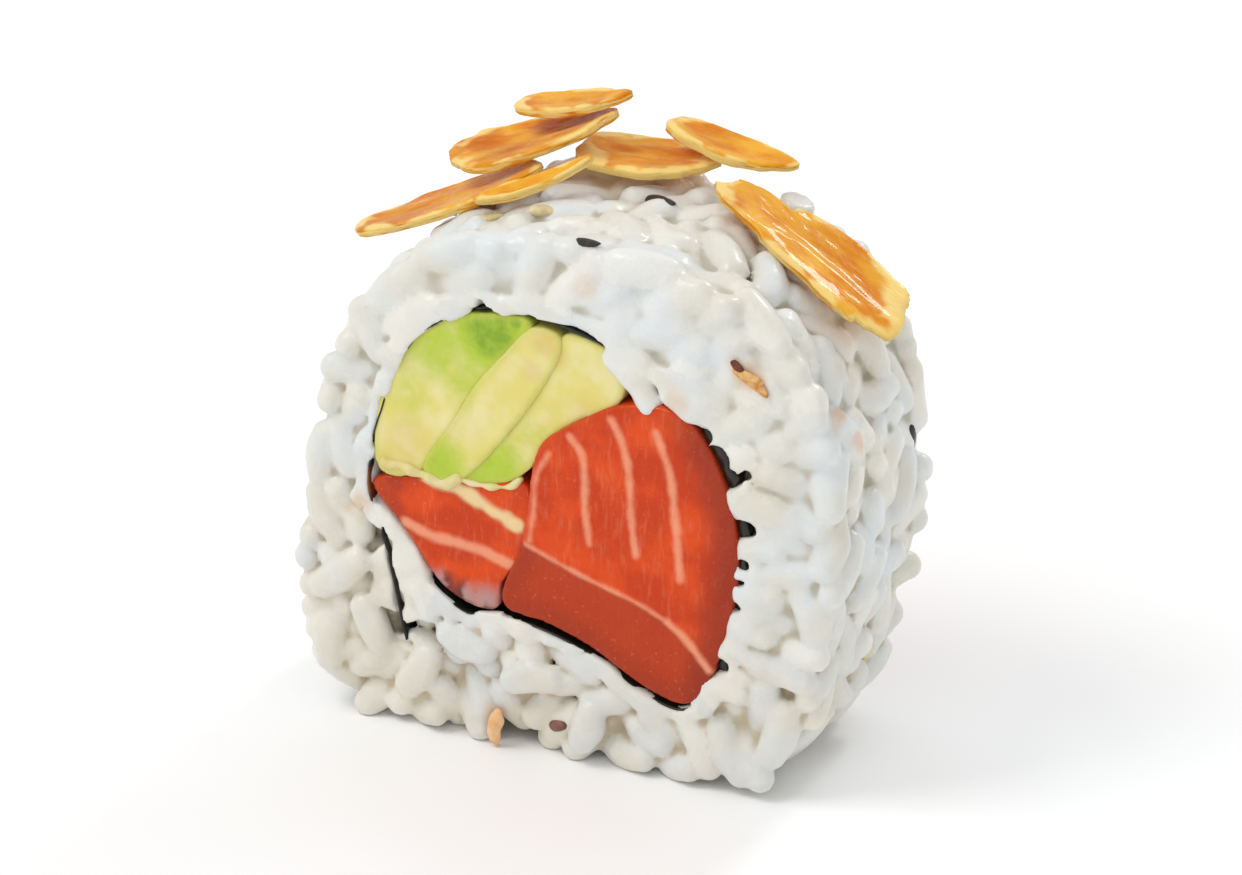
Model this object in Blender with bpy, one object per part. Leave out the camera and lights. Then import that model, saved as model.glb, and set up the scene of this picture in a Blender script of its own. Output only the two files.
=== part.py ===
"""One slice of an uramaki roll: rice outside, nori inside, salmon and avocado in the middle.

The slice lies on its side, as it is served. X runs to the right across the cut face, Y runs along the
roll and into the slice, and Z is up. The cut face that is looked at is at -Y. The origin is on the
table, below the middle of the slice. Blender's unit is the metre. The outlines are given in
millimetres on the cut face, and are turned to metres where the meshes are made.
"""

import math

import bmesh
import bpy
import numpy as np
from mathutils import Matrix, Vector
from mathutils.bvhtree import BVHTree

MM = 0.001
EDGE, FRONT, BACK = range(3)

# Driving dimensions, in millimetres
SLICE_LENGTH = 19.0
NORI_THICKNESS = 0.45
GAP = 0.32
GRAIN_LENGTH = 6.8
GRAIN_WIDTH = 3.0
GRAIN_FLATNESS = 0.86
SEED_LENGTH = 3.2
SEED_WIDTH = 1.9
FLAKE_THICKNESS = 1.0
RIM_ROUNDING = 0.35

# How the grains that show are packed round the core: at the outer edge, and at both cut faces
PACKING_SEED = 11
EDGE_GRAINS = 116
FACE_GRAINS = 63
CONTACT_DISTANCE = 2.75
WALL_DISTANCE = 1.25
FACE_DISTANCE = 1.15
LAYER_DEPTH = 0.5
UNEVENNESS = 0.45
RELAX_STEPS = 110
FLOOR_DISTANCE = 1.1
FIELD_STEP = 0.4
CORE_DEPTH = 1.1
FLAT_ENOUGH = math.radians(4)
GRAIN_SIDES = 5
FOOT_MIDDLE = Vector((-1.5, 0.0, 0.0))
FOOT_WIDTH = 27.0
FOOT_LENGTH = 12.0
FOOT_HEIGHT = 3.0
SEED_SIDES = 5

# The sesame seeds on the outside of the rice: a rule lays them, but on the side that faces the front,
# right of SEEN_FROM and nearer than SEEN_TO, only the placed ones lie. Each has a middle and a direction.
SEED_COUNT = 24
SEED_DRAW = 5
SEEN_FROM = -9.0
SEEN_TO = 3.0
PLACED_SEEDS = (
    ((0.6, -8.0, 45.2), (1.0, 0.2, 0.0)),
    ((2.6, 2.4, 45.2), (1.0, -0.2, 0.0)),
    ((-5.1, -2.2, 44.9), (0.8, 0.6, 0.0)),
    ((23.2, -3.4, 21.0), (0.0, 0.5, 1.0)),
)
SEED_LIFT = 0.35

# The outer edge of the rice on the cut face, anticlockwise from the lower left corner
RICE_OUTLINE = (
    (-19.0, 0.3), (-8.0, 0.0), (5.0, 0.0), (15.4, 0.3), (19.8, 4.8), (22.3, 13.0), (23.3, 24.0),
    (22.0, 34.0), (17.6, 40.8), (10.6, 44.3), (1.5, 45.2), (-8.6, 44.2), (-17.2, 39.2), (-21.6, 31.0),
    (-23.6, 21.5), (-24.7, 12.5), (-24.0, 4.5),
)

# The middle of the nori, from its inner end anticlockwise to its outer end, which lies free in the rice
NORI_ROUTE = (
    (-12.6, 13.4), (-9.0, 11.3), (-4.2, 11.5), (1.5, 10.0), (7.0, 7.1), (10.7, 7.0), (13.5, 12.3),
    (15.0, 20.5), (13.8, 27.8), (9.4, 33.9), (1.8, 37.7), (-6.6, 38.8), (-13.4, 35.2), (-17.3, 28.2),
    (-18.4, 21.2), (-17.0, 15.0), (-15.0, 8.6),
)
NORI_STEPS = 3
FLAP_SPANS = 2.34

# Where the rice that is caught under the flap of nori meets the filling
WEDGE_EDGE = ((-17.5, 20.3), (-15.6, 18.7), (-13.6, 16.2), (-12.6, 14.4))

AVOCADO_LEFT = (
    (-16.7, 23.0), (-16.4, 28.4), (-14.5, 32.5), (-12.5, 35.1), (-9.8, 36.9), (-6.4, 37.7),
    (-3.5, 37.6), (-5.1, 35.2), (-7.6, 32.5), (-9.2, 29.9), (-10.6, 27.2), (-12.5, 24.3), (-14.2, 22.9),
)
AVOCADO_MIDDLE = (
    (-3.1, 37.1), (-1.2, 37.1), (-0.9, 36.0), (-2.2, 33.3), (-4.0, 30.3), (-6.3, 27.1), (-8.6, 24.4),
    (-10.4, 23.1), (-12.3, 23.1), (-12.2, 24.5), (-10.3, 27.2), (-8.8, 30.0), (-7.2, 32.4),
    (-4.9, 35.1),
)
AVOCADO_RIGHT = (
    (-0.6, 36.7), (1.2, 37.2), (3.7, 36.2), (4.4, 33.8), (3.6, 32.1), (1.4, 30.9), (-0.8, 29.4),
    (-2.3, 27.7), (-3.6, 25.6), (-5.6, 24.0), (-7.9, 23.4), (-8.9, 23.8), (-5.9, 26.9), (-3.5, 30.2),
    (-1.7, 33.2),
)
SALMON_BLOCK = (
    (-2.3, 26.9), (-0.7, 28.7), (1.5, 30.3), (4.2, 31.9), (7.6, 32.6), (10.2, 31.8), (12.5, 28.9),
    (13.9, 24.9), (14.4, 21.0), (13.9, 16.8), (12.8, 12.3), (11.2, 8.6), (9.2, 7.7), (5.6, 9.0),
    (2.2, 10.9), (-2.0, 12.4), (-5.3, 12.9), (-5.3, 15.0), (-3.9, 18.1), (-3.2, 22.0),
)
SALMON_STRIP = (
    (-17.2, 21.3), (-14.4, 22.0), (-11.0, 22.5), (-7.6, 22.7), (-4.2, 23.6), (-3.7, 20.6), (-4.7, 17.4),
    (-6.4, 14.6), (-6.8, 12.5), (-9.2, 12.6), (-11.4, 13.9), (-13.0, 16.3), (-15.2, 19.0),
)

# Outline, finish, and how far each end lies behind the front and the back face
FILLINGS = {
    "avocado_slice_middle": (AVOCADO_MIDDLE, "avocado", 0.1, 0.4),
    "avocado_slice_left": (AVOCADO_LEFT, "avocado", 0.3, 0.2),
    "avocado_slice_right": (AVOCADO_RIGHT, "avocado", 0.3, 0.1),
    "salmon_block": (SALMON_BLOCK, "salmon", -0.1, 0.2),
    "salmon_strip": (SALMON_STRIP, "salmon", 0.3, 0.0),
}
FILLING_STEPS = 2
FILLING_SLACK = 0.03
NORI_INSET = 0.1

# Middle, direction of the long axis, tilt about it in degrees, length and width,
# and how much it curls and twists, with the draw for its uneven rim
FLAKES = {
    "almond_flake_low_left": ((-16.2, 1.2, 45.0), (0.9, 0.2, 0.42), -3, (18.0, 8.2), (0.5, 0.4, 3)),
    "almond_flake_light": ((-0.6, 6.9, 48.5), (1.0, 0.10, 0.0), 1, (12.5, 8.0), (0.4, 0.3, 1)),
    "almond_flake_hero": ((16.6, 1.4, 44.5), (-18.4, 4.0, 8.8), -4, (20.7, 7.4), (-0.5, 0.6, 4)),
    "almond_flake_thin": ((6.4, 8.3, 50.0), (1.0, -0.10, -0.14), -2, (12.0, 5.0), (0.4, 0.3, 5)),
    "almond_flake_upper_left": ((-10.4, 5.0, 49.0), (0.93, 0.12, 0.34), 3, (16.0, 8.5), (0.7, -0.5, 2)),
    "almond_flake_top_left": ((-7.6, 6.6, 52.0), (0.95, -0.10, 0.26), 4, (11.5, 4.6), (0.4, 0.4, 7)),
    "almond_flake_stick": ((-7.6, -1.6, 48.0), (0.84, 0.22, 0.40), 14, (11.0, 2.0), (0.5, 0.1, 6)),
}
FLAKE_POINTS = 12
FLAKE_RINGS = ((0.5, 1.0), (0.86, 0.9), (1.0, 0.45))
FLAKE_GAP = 0.35
DROP_HEIGHT = 30.0

# Colour, roughness
FINISHES = {
    "rice": ((0.78, 0.78, 0.72, 1.0), 0.45),
    "nori": ((0.012, 0.016, 0.010, 1.0), 0.5),
    "avocado": ((0.72, 0.70, 0.22, 1.0), 0.45),
    "salmon": ((0.72, 0.13, 0.04, 1.0), 0.3),
    "almond": ((0.72, 0.38, 0.10, 1.0), 0.4),
}


# Curves on the cut face

def smooth_curve(points, steps, closed):
    """Points of a smooth curve through the given ones, with some steps between each two."""
    knots = np.array(points, dtype=float)
    if closed:
        before, start, after, far = (np.roll(knots, shift, axis=0) for shift in (1, 0, -1, -2))
    else:
        first = 2 * knots[0] - knots[1]
        last = 2 * knots[-1] - knots[-2]
        padded = np.vstack([first, knots, last])
        before, start, after, far = padded[:-3], padded[1:-2], padded[2:-1], padded[3:]
    spans = []
    for part in np.arange(steps) / steps:
        linear = (after - before) * part
        square = (2 * before - 5 * start + 4 * after - far) * part ** 2
        cubic = (3 * start - before - 3 * after + far) * part ** 3
        spans.append(start + 0.5 * (linear + square + cubic))
    curve = np.stack(spans, axis=1).reshape(-1, 2)
    if not closed:
        curve = np.vstack([curve, knots[-1]])
    return curve


def anticlockwise(loop):
    """The same loop, turned round if it runs clockwise."""
    following = np.roll(loop, -1, axis=0)
    area = np.sum(loop[:, 0] * following[:, 1] - following[:, 0] * loop[:, 1])
    return loop if area > 0 else loop[::-1]


def moved_left(curve, distance, closed):
    """The curve moved to its left, which is inwards for an anticlockwise loop."""
    if closed:
        along = np.roll(curve, -1, axis=0) - np.roll(curve, 1, axis=0)
    else:
        along = np.gradient(curve, axis=0)
    along /= np.linalg.norm(along, axis=1, keepdims=True)
    left = np.stack([-along[:, 1], along[:, 0]], axis=1)
    return curve + left * distance


def nearest_on_curve(points, curve, closed):
    """For each point, the nearest spot of a curve of straight pieces, and how far off it is."""
    starts = curve if closed else curve[:-1]
    ends = np.roll(curve, -1, axis=0) if closed else curve[1:]
    along = ends - starts
    reach = points[:, None, :] - starts[None, :, :]
    share = np.sum(reach * along, axis=2) / np.sum(along * along, axis=1)
    spots = starts + np.clip(share, 0, 1)[..., None] * along
    distances = np.linalg.norm(points[:, None, :] - spots, axis=2)
    nearest = np.argmin(distances, axis=1)
    rows = np.arange(len(points))
    return spots[rows, nearest], distances[rows, nearest]


def is_inside(points, loop):
    """Whether each point lies inside a closed loop."""
    following = np.roll(loop, -1, axis=0)
    x, z = points[:, 0, None], points[:, 1, None]
    crosses = (loop[:, 1] > z) != (following[:, 1] > z)
    rise = np.where(following[:, 1] == loop[:, 1], 1.0, following[:, 1] - loop[:, 1])
    where = loop[:, 0] + (z - loop[:, 1]) / rise * (following[:, 0] - loop[:, 0])
    return np.sum(crosses & (x < where), axis=1) % 2 == 1


def rice_edge():
    """The outer edge of the rice."""
    return smooth_curve(RICE_OUTLINE, 5, closed=True)


def nori_line():
    """The middle of the nori from its inner end to its outer end."""
    return smooth_curve(NORI_ROUTE, NORI_STEPS, closed=False)


def flap_start():
    """The index on the nori's line where the free flap begins."""
    return int(NORI_STEPS * (len(NORI_ROUTE) - 1 - FLAP_SPANS))


def nori_outline(margin):
    """The outline of the sheet of nori on the cut face, widened all round by a margin."""
    line = nori_line()
    half = NORI_THICKNESS / 2 + margin
    tip = line[-1] + (line[-1] - line[-2]) / np.linalg.norm(line[-1] - line[-2]) * half
    root = line[0] + (line[0] - line[1]) / np.linalg.norm(line[0] - line[1]) * half
    line = np.vstack([root, line, tip])
    return np.vstack([moved_left(line, -half, False), moved_left(line, half, False)[::-1]])


def filling_hollow(margin):
    """The outline of the hollow in the rice that takes the nori and what it holds."""
    sheet = nori_outline(margin)
    count = len(sheet) // 2
    outside, inside = sheet[:count], sheet[count:]
    flap = inside[:count - flap_start()]
    wedge = smooth_curve(WEDGE_EDGE, 2, closed=False)
    return np.vstack([outside, flap, wedge, sheet[-1:]])


# Meshes

def make_object(name, bm, finish):
    """An object from a mesh in millimetres, with the named finish."""
    bmesh.ops.recalc_face_normals(bm, faces=bm.faces)
    mesh = bpy.data.meshes.new(name)
    bmesh.ops.scale(bm, vec=(MM, MM, MM), verts=bm.verts)
    bm.to_mesh(mesh)
    bm.free()
    if finish:
        mesh.materials.append(material(finish))
    obj = bpy.data.objects.new(name, mesh)
    bpy.context.scene.collection.objects.link(obj)
    return obj


def material(name):
    """The named finish as a material, made once."""
    if name in bpy.data.materials:
        return bpy.data.materials[name]
    colour, roughness = FINISHES[name]
    made = bpy.data.materials.new(name)
    made.use_nodes = True
    shader = made.node_tree.nodes["Principled BSDF"]
    shader.inputs["Base Color"].default_value = colour
    shader.inputs["Roughness"].default_value = roughness
    shader.inputs["Metallic"].default_value = 0.0
    return made


def prism(sections):
    """A closed mesh through sections, each an outline on the cut face and its place along the roll."""
    bm = bmesh.new()
    rings = [[bm.verts.new((x, y, z)) for x, z in loop] for loop, y in sections]
    for ring, following in zip(rings, rings[1:]):
        count = len(ring)
        for i in range(count):
            j = (i + 1) % count
            bm.faces.new((ring[i], ring[j], following[j], following[i]))
    bm.faces.new(rings[0])
    bm.faces.new(rings[-1])
    bm.normal_update()
    bmesh.ops.triangulate(bm, faces=bm.faces)
    return bm


def pill(length, width, height, sides, blunt):
    """Corners and faces of a long rounded grain along X, at the origin."""
    corners = [(-length / 2, 0.0, 0.0)]
    for place, size in ((-0.72, blunt), (0.0, 1.0), (0.72, blunt)):
        for i in range(sides):
            angle = 2 * math.pi * i / sides
            corners.append((place * length / 2, size * width / 2 * math.cos(angle),
                            size * height / 2 * math.sin(angle)))
    corners.append((length / 2, 0.0, 0.0))
    last = len(corners) - 1
    faces = []
    for i in range(sides):
        j = (i + 1) % sides
        faces.append((0, 1 + j, 1 + i))
        faces.append((last, last - sides + i, last - sides + j))
        for ring in (1, 1 + sides):
            faces.append((ring + i, ring + j, ring + sides + j, ring + sides + i))
    return corners, faces


def placed_pill(name, shape, place, collection):
    """One grain or seed as an object of its own, put in the collection."""
    corners, faces = shape
    mesh = bpy.data.meshes.new(name)
    mesh.from_pydata([place @ Vector(corner) * MM for corner in corners], [], faces)
    obj = bpy.data.objects.new(name, mesh)
    collection.objects.link(obj)
    return obj


def evaluated_copy(obj):
    """The mesh that an object has once its modifiers are applied."""
    bpy.context.view_layer.update()
    depsgraph = bpy.context.evaluated_depsgraph_get()
    return bpy.data.meshes.new_from_object(obj.evaluated_get(depsgraph))


def combine(obj, operation, solver, cutter=None, collection=None):
    """Joins a collection to an object, or cuts a cutter from it, and applies the result."""
    modifier = obj.modifiers.new(operation, "BOOLEAN")
    modifier.operation = operation
    modifier.solver = solver
    if collection:
        modifier.operand_type = "COLLECTION"
        modifier.collection = collection
        used = list(collection.objects)
    else:
        modifier.object = cutter
        used = [cutter]
    mesh = evaluated_copy(obj)
    obj.modifiers.remove(modifier)
    obj.data = mesh
    for item in used:
        bpy.data.objects.remove(item)


def keep_largest_shell(obj):
    """Drops loose scraps and fills sealed hollows, by keeping only the outermost closed shell."""
    bm = bmesh.new()
    bm.from_mesh(obj.data)
    bmesh.ops.triangulate(bm, faces=bm.faces)
    left = set(bm.verts)
    shells = []
    while left:
        shell, edge_of_shell = set(), [left.pop()]
        while edge_of_shell:
            vertex = edge_of_shell.pop()
            shell.add(vertex)
            for edge in vertex.link_edges:
                other = edge.other_vert(vertex)
                if other in left:
                    left.remove(other)
                    edge_of_shell.append(other)
        shells.append(shell)
    shells.sort(key=len)
    for shell in shells[:-1]:
        bmesh.ops.delete(bm, geom=list(shell), context="VERTS")
    bm.to_mesh(obj.data)
    bm.free()


def merge_flat_faces(obj):
    """Drops the corners that the joins left in the middle of flat faces and straight edges."""
    bm = bmesh.new()
    bm.from_mesh(obj.data)
    bmesh.ops.dissolve_limit(bm, angle_limit=FLAT_ENOUGH, verts=bm.verts, edges=bm.edges)
    bmesh.ops.triangulate(bm, faces=bm.faces)
    bm.to_mesh(obj.data)
    bm.free()


# Rice

def room_for_rice():
    """How far each spot of a grid on the cut face lies inside the room for rice."""
    xs = np.arange(-29.0, 29.0, FIELD_STEP)
    zs = np.arange(-4.0, 50.0, FIELD_STEP)
    spots = np.stack(np.meshgrid(xs, zs, indexing="ij"), axis=-1).reshape(-1, 2)
    edge = rice_edge()
    hollow = filling_hollow(0.0)
    from_edge = nearest_on_curve(spots, edge, True)[1] * np.where(is_inside(spots, edge), 1, -1)
    from_hollow = nearest_on_curve(spots, hollow, True)[1] * np.where(is_inside(spots, hollow), -1, 1)
    shape = (len(xs), len(zs))
    return from_edge.reshape(shape), from_hollow.reshape(shape)


def look_up(field, points):
    """The field's value and its slope at points on the cut face, between the spots of its grid."""
    place = (points - np.array([-29.0, -4.0])) / FIELD_STEP
    place = np.clip(place, 0, np.array(field.shape) - 1.001)
    low = place.astype(int)
    u, v = (place - low).T
    i, j = low.T
    a, b, c, d = field[i, j], field[i + 1, j], field[i, j + 1], field[i + 1, j + 1]
    value = a * (1 - u) * (1 - v) + b * u * (1 - v) + c * (1 - u) * v + d * u * v
    slope = np.stack([(b - a) * (1 - v) + (d - c) * v, (c - a) * (1 - u) + (d - b) * u], axis=1)
    length = np.linalg.norm(slope, axis=1, keepdims=True)
    return value, slope / np.maximum(length, 1e-6)


def keep_in_room(points, fields, walls):
    """Moves points back inside the room for rice, each as far from the walls as it has to be."""
    for field, wall in zip(fields, walls):
        value, slope = look_up(field, points[:, [0, 2]])
        short = np.maximum(wall - value, 0.0)
        points[:, [0, 2]] += slope * short[:, None]
    limit = SLICE_LENGTH / 2 - FACE_DISTANCE
    points[:, 1] = np.clip(points[:, 1], -limit, limit)
    points[:, 2] = np.maximum(points[:, 2], FLOOR_DISTANCE)


def keep_at_home(middles, homes, edge_field, edge_wall):
    """Moves each grain's middle out to the layer that it belongs to: a cut face or the outer edge."""
    limit = SLICE_LENGTH / 2 - FACE_DISTANCE
    for home, side in ((FRONT, -1.0), (BACK, 1.0)):
        at_home = homes == home
        inwards = np.clip(limit - side * middles[at_home, 1], 0.0, LAYER_DEPTH)
        middles[at_home, 1] = side * (limit - inwards)
    value, slope = look_up(edge_field, middles[:, [0, 2]])
    deep = np.maximum(value - edge_wall - LAYER_DEPTH, 0.0) * (homes == EDGE)
    middles[:, [0, 2]] -= slope * deep[:, None]


def near_pairs(ends):
    """Pairs of grains that are near enough to touch."""
    middles = ends.mean(axis=1)
    apart = np.linalg.norm(middles[:, None] - middles[None], axis=2)
    first, second = np.nonzero(np.triu(apart < GRAIN_LENGTH + 0.5, k=1))
    return first, second


def push_apart(ends, pairs):
    """Moves grains that overlap away from each other."""
    first, second = pairs
    p, q = ends[first, 0], ends[second, 0]
    along_p, along_q = ends[first, 1] - p, ends[second, 1] - q
    between = p - q
    pp, qq, pq = ((m * n).sum(1) for m, n in ((along_p, along_p), (along_q, along_q), (along_p, along_q)))
    p_between, q_between = (along_p * between).sum(1), (along_q * between).sum(1)
    s = np.clip((pq * q_between - p_between * qq) / np.maximum(pp * qq - pq ** 2, 1e-6), 0, 1)
    t = np.clip((pq * s + q_between) / qq, 0, 1)
    s = np.clip((pq * t - p_between) / pp, 0, 1)
    gap = between + s[:, None] * along_p - t[:, None] * along_q
    distance = np.maximum(np.linalg.norm(gap, axis=1), 1e-6)
    push = gap / distance[:, None] * (np.maximum(CONTACT_DISTANCE - distance, 0) / 2)[:, None]
    moved = np.zeros_like(ends)
    touched = np.zeros(ends.shape[:2])
    for grains, share, sign in ((first, s, 1.0), (second, t, -1.0)):
        for end, weight in ((0, 1 - share), (1, share)):
            np.add.at(moved[:, end], grains, sign * push * weight[:, None])
            np.add.at(touched[:, end], grains, weight * (distance < CONTACT_DISTANCE))
    ends += 1.5 * moved / np.maximum(touched, 1.0)[..., None]


def scattered_middles(rng, fields, homes):
    """A first random place for each grain, in the layer that it belongs to."""
    reach = SLICE_LENGTH / 2 - FACE_DISTANCE
    middles = []
    for home in homes:
        while True:
            spot = rng.uniform((-26, -reach, 1), (26, reach, 46))
            from_edge, from_hollow = (look_up(field, spot[None, [0, 2]])[0][0] for field in fields)
            if home != EDGE and min(from_edge, from_hollow) > 1.0:
                break
            if home == EDGE and 0.5 < from_edge < 2.5 and spot[2] > 3.0:
                break
        if home != EDGE:
            spot[1] = reach if home == BACK else -reach
        middles.append(spot)
    return np.array(middles)


def packed_grains():
    """The middles of the two round ends of each grain, the grains' sizes and the layers they lie in."""
    rng = np.random.default_rng(PACKING_SEED)
    fields = room_for_rice()
    homes = np.repeat((EDGE, FRONT, BACK), (EDGE_GRAINS, FACE_GRAINS, FACE_GRAINS))
    count = len(homes)
    middles = scattered_middles(rng, fields, homes)
    directions = rng.normal(size=(count, 3))
    directions[homes != EDGE, 1] *= 0.35
    directions /= np.linalg.norm(directions, axis=1, keepdims=True)
    sizes = rng.uniform(0.88, 1.1, count)
    half = (sizes * (GRAIN_LENGTH - GRAIN_WIDTH) / 2)[:, None]
    ends = np.stack([middles - directions * half, middles + directions * half], axis=1)
    edge_wall = WALL_DISTANCE + rng.uniform(-UNEVENNESS, UNEVENNESS, count)
    walls = (edge_wall, np.full(count, WALL_DISTANCE))
    for step in range(RELAX_STEPS):
        if step % 8 == 0:
            pairs = near_pairs(ends)
        push_apart(ends, pairs)
        for end in (0, 1):
            column = ends[:, end].copy()
            keep_in_room(column, fields, walls)
            ends[:, end] = column
        middles = ends.mean(axis=1)
        direction = ends[:, 1] - ends[:, 0]
        direction /= np.maximum(np.linalg.norm(direction, axis=1, keepdims=True), 1e-6)
        keep_in_room(middles, fields, walls)
        keep_at_home(middles, homes, fields[0], edge_wall)
        ends[:, 0] = middles - direction * half
        ends[:, 1] = middles + direction * half
    return ends, sizes, homes


def lying_along(direction, outwards, middle):
    """The place of a grain along a direction, with its flat side turned to the outside."""
    along = Vector(direction).normalized()
    side = along.cross(Vector(outwards))
    if side.length < 0.05:
        side = along.orthogonal()
    side.normalize()
    turn = Matrix((along, side, along.cross(side))).transposed()
    return Matrix.Translation(Vector(middle)) @ turn.to_4x4()


def outwards_at(middle, home, edge_field):
    """The direction from a grain to the outer face of the rice that it lies in."""
    if home != EDGE:
        return (0.0, -1.0 if home == FRONT else 1.0, 0.0)
    slope = look_up(edge_field, np.array([[middle[0], middle[2]]]))[1][0]
    return (-slope[0], 0.0, -slope[1])


def add_grains(collection):
    """The grains of rice that show, each at its true size."""
    edge_field = room_for_rice()[0]
    for number, (ends, size, home) in enumerate(zip(*packed_grains())):
        middle = ends.mean(axis=0)
        shape = pill(GRAIN_LENGTH * size, GRAIN_WIDTH, GRAIN_WIDTH * GRAIN_FLATNESS, GRAIN_SIDES, 0.8)
        place = lying_along(ends[1] - ends[0], outwards_at(middle, home, edge_field), middle)
        placed_pill(f"grain_{number}", shape, place, collection)


def seed_places():
    """Where the sesame seeds lie on the outside of the rice: their middles, directions and outsides."""
    rng = np.random.default_rng(SEED_DRAW)
    edge = rice_edge()
    along = np.roll(edge, -1, axis=0) - np.roll(edge, 1, axis=0)
    along /= np.linalg.norm(along, axis=1, keepdims=True)
    above_table = np.nonzero(edge[:, 1] > 5.0)[0]
    places = []
    for number in range(SEED_COUNT):
        index = above_table[int((number + rng.uniform(0.1, 0.9)) / SEED_COUNT * len(above_table))]
        depth = rng.uniform(-0.42, 0.42) * SLICE_LENGTH
        outside = np.array([along[index, 1], 0.0, -along[index, 0]])
        middle = np.array([edge[index, 0], depth, edge[index, 1]])
        turn = rng.uniform(0, math.pi)
        direction = math.cos(turn) * np.array([along[index, 0], 0, along[index, 1]])
        direction = direction + np.array([0, math.sin(turn), 0])
        if middle[0] < SEEN_FROM or depth > SEEN_TO:
            places.append((middle, direction, outside))
    for middle, direction in PLACED_SEEDS:
        index = np.argmin(np.linalg.norm(edge - np.array(middle)[[0, 2]], axis=1))
        outside = np.array([along[index, 1], 0.0, -along[index, 0]])
        places.append((np.array(middle), np.array(direction), outside))
    return places


def add_seeds(collection):
    """The sesame seeds, sunk a little into the rice."""
    shape = pill(SEED_LENGTH, SEED_WIDTH, SEED_WIDTH * 0.6, SEED_SIDES, 0.75)
    for number, (middle, direction, outside) in enumerate(seed_places()):
        place = lying_along(direction, outside, middle + outside * SEED_LIFT)
        placed_pill(f"seed_{number}", shape, place, collection)


def rice_core():
    """The rice behind the grains that show, with a flat foot to rest on."""
    edge = moved_left(rice_edge(), CORE_DEPTH, True)
    reach = SLICE_LENGTH / 2 - CORE_DEPTH
    rice = make_object("rice", prism([(edge, -reach), (edge, reach)]), "rice")
    corner = Vector((FOOT_WIDTH / 2, FOOT_LENGTH / 2, 0.0))
    foot = box_object("foot", FOOT_MIDDLE - corner, FOOT_MIDDLE + corner + Vector((0, 0, FOOT_HEIGHT)))
    combine(rice, "UNION", "EXACT", cutter=foot)
    return rice


def box_object(name, low, high):
    """A plain box between two corners, in millimetres."""
    bm = bmesh.new()
    bmesh.ops.create_cube(bm, size=1.0)
    size = Vector(high) - Vector(low)
    bmesh.ops.scale(bm, vec=size, verts=bm.verts)
    bmesh.ops.translate(bm, vec=(Vector(high) + Vector(low)) / 2, verts=bm.verts)
    return make_object(name, bm, None)


def build_rice():
    """The rice: a core with its grains and seeds fused on, hollow where the filling runs through."""
    rice = rice_core()
    grains = bpy.data.collections.new("grains")
    bpy.context.scene.collection.children.link(grains)
    add_grains(grains)
    add_seeds(grains)
    combine(rice, "UNION", "MANIFOLD", collection=grains)
    bpy.data.collections.remove(grains)
    through = SLICE_LENGTH / 2 + GRAIN_WIDTH
    hollow = filling_hollow(GAP)
    cutter = make_object("hollow_cutter", prism([(hollow, -through), (hollow, through)]), None)
    combine(rice, "DIFFERENCE", "MANIFOLD", cutter=cutter)
    table = box_object("table_cutter", (-40, -30, -10), (40, 30, 0))
    combine(rice, "DIFFERENCE", "MANIFOLD", cutter=table)
    keep_largest_shell(rice)
    merge_flat_faces(rice)
    return rice


# Nori and filling

def build_nori():
    """The sheet of nori: one long curved strip that runs round the filling and ends free in the rice."""
    outline = nori_outline(0.0)
    reach = SLICE_LENGTH / 2 - NORI_INSET
    return make_object("nori", prism([(outline, -reach), (outline, reach)]), "nori")


def filling_room():
    """The outline of the room inside the nori, with the usual gap to the nori and to the rice."""
    sheet = moved_left(nori_line(), NORI_THICKNESS / 2 + GAP, False)[:flap_start() + 1]
    wedge = moved_left(smooth_curve(WEDGE_EDGE, 2, closed=False), GAP, False)
    return np.vstack([sheet, wedge])


def kept_inside(loop, room):
    """The loop with the points that lie outside the room moved to its nearest edge."""
    nearest, _ = nearest_on_curve(loop, room, True)
    return np.where(is_inside(loop, room)[:, None], loop, nearest)


def kept_clear(loop, neighbour):
    """The loop with its points pushed away from a neighbour until the usual gap is left."""
    nearest, distance = nearest_on_curve(loop, neighbour, True)
    side = np.where(is_inside(loop, neighbour), -1.0, 1.0)
    away = (loop - nearest) * (side / np.maximum(distance, 1e-6))[:, None]
    short = np.maximum(GAP + FILLING_SLACK - side * distance, 0.0)
    return loop + away * short[:, None]


def build_fillings():
    """The strips of filling, which press on each other but keep the usual gap."""
    room = filling_room()
    laid = []
    for name, (outline, finish, front, back) in FILLINGS.items():
        loop = anticlockwise(smooth_curve(outline, FILLING_STEPS, True))
        for neighbour in laid:
            loop = kept_clear(loop, neighbour)
        loop = kept_inside(loop, room)
        laid.append(loop)
        build_filling(name, loop, finish, front, back)


def build_filling(name, loop, finish, front, back):
    """One strip of filling, with softly rounded rims where the knife went through."""
    rim = moved_left(loop, RIM_ROUNDING, True)
    start, end = -SLICE_LENGTH / 2 + front, SLICE_LENGTH / 2 - back
    sections = [(rim, start), (loop, start + RIM_ROUNDING), (loop, end - RIM_ROUNDING), (rim, end)]
    return make_object(name, prism(sections), finish)


# Almond flakes

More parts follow.
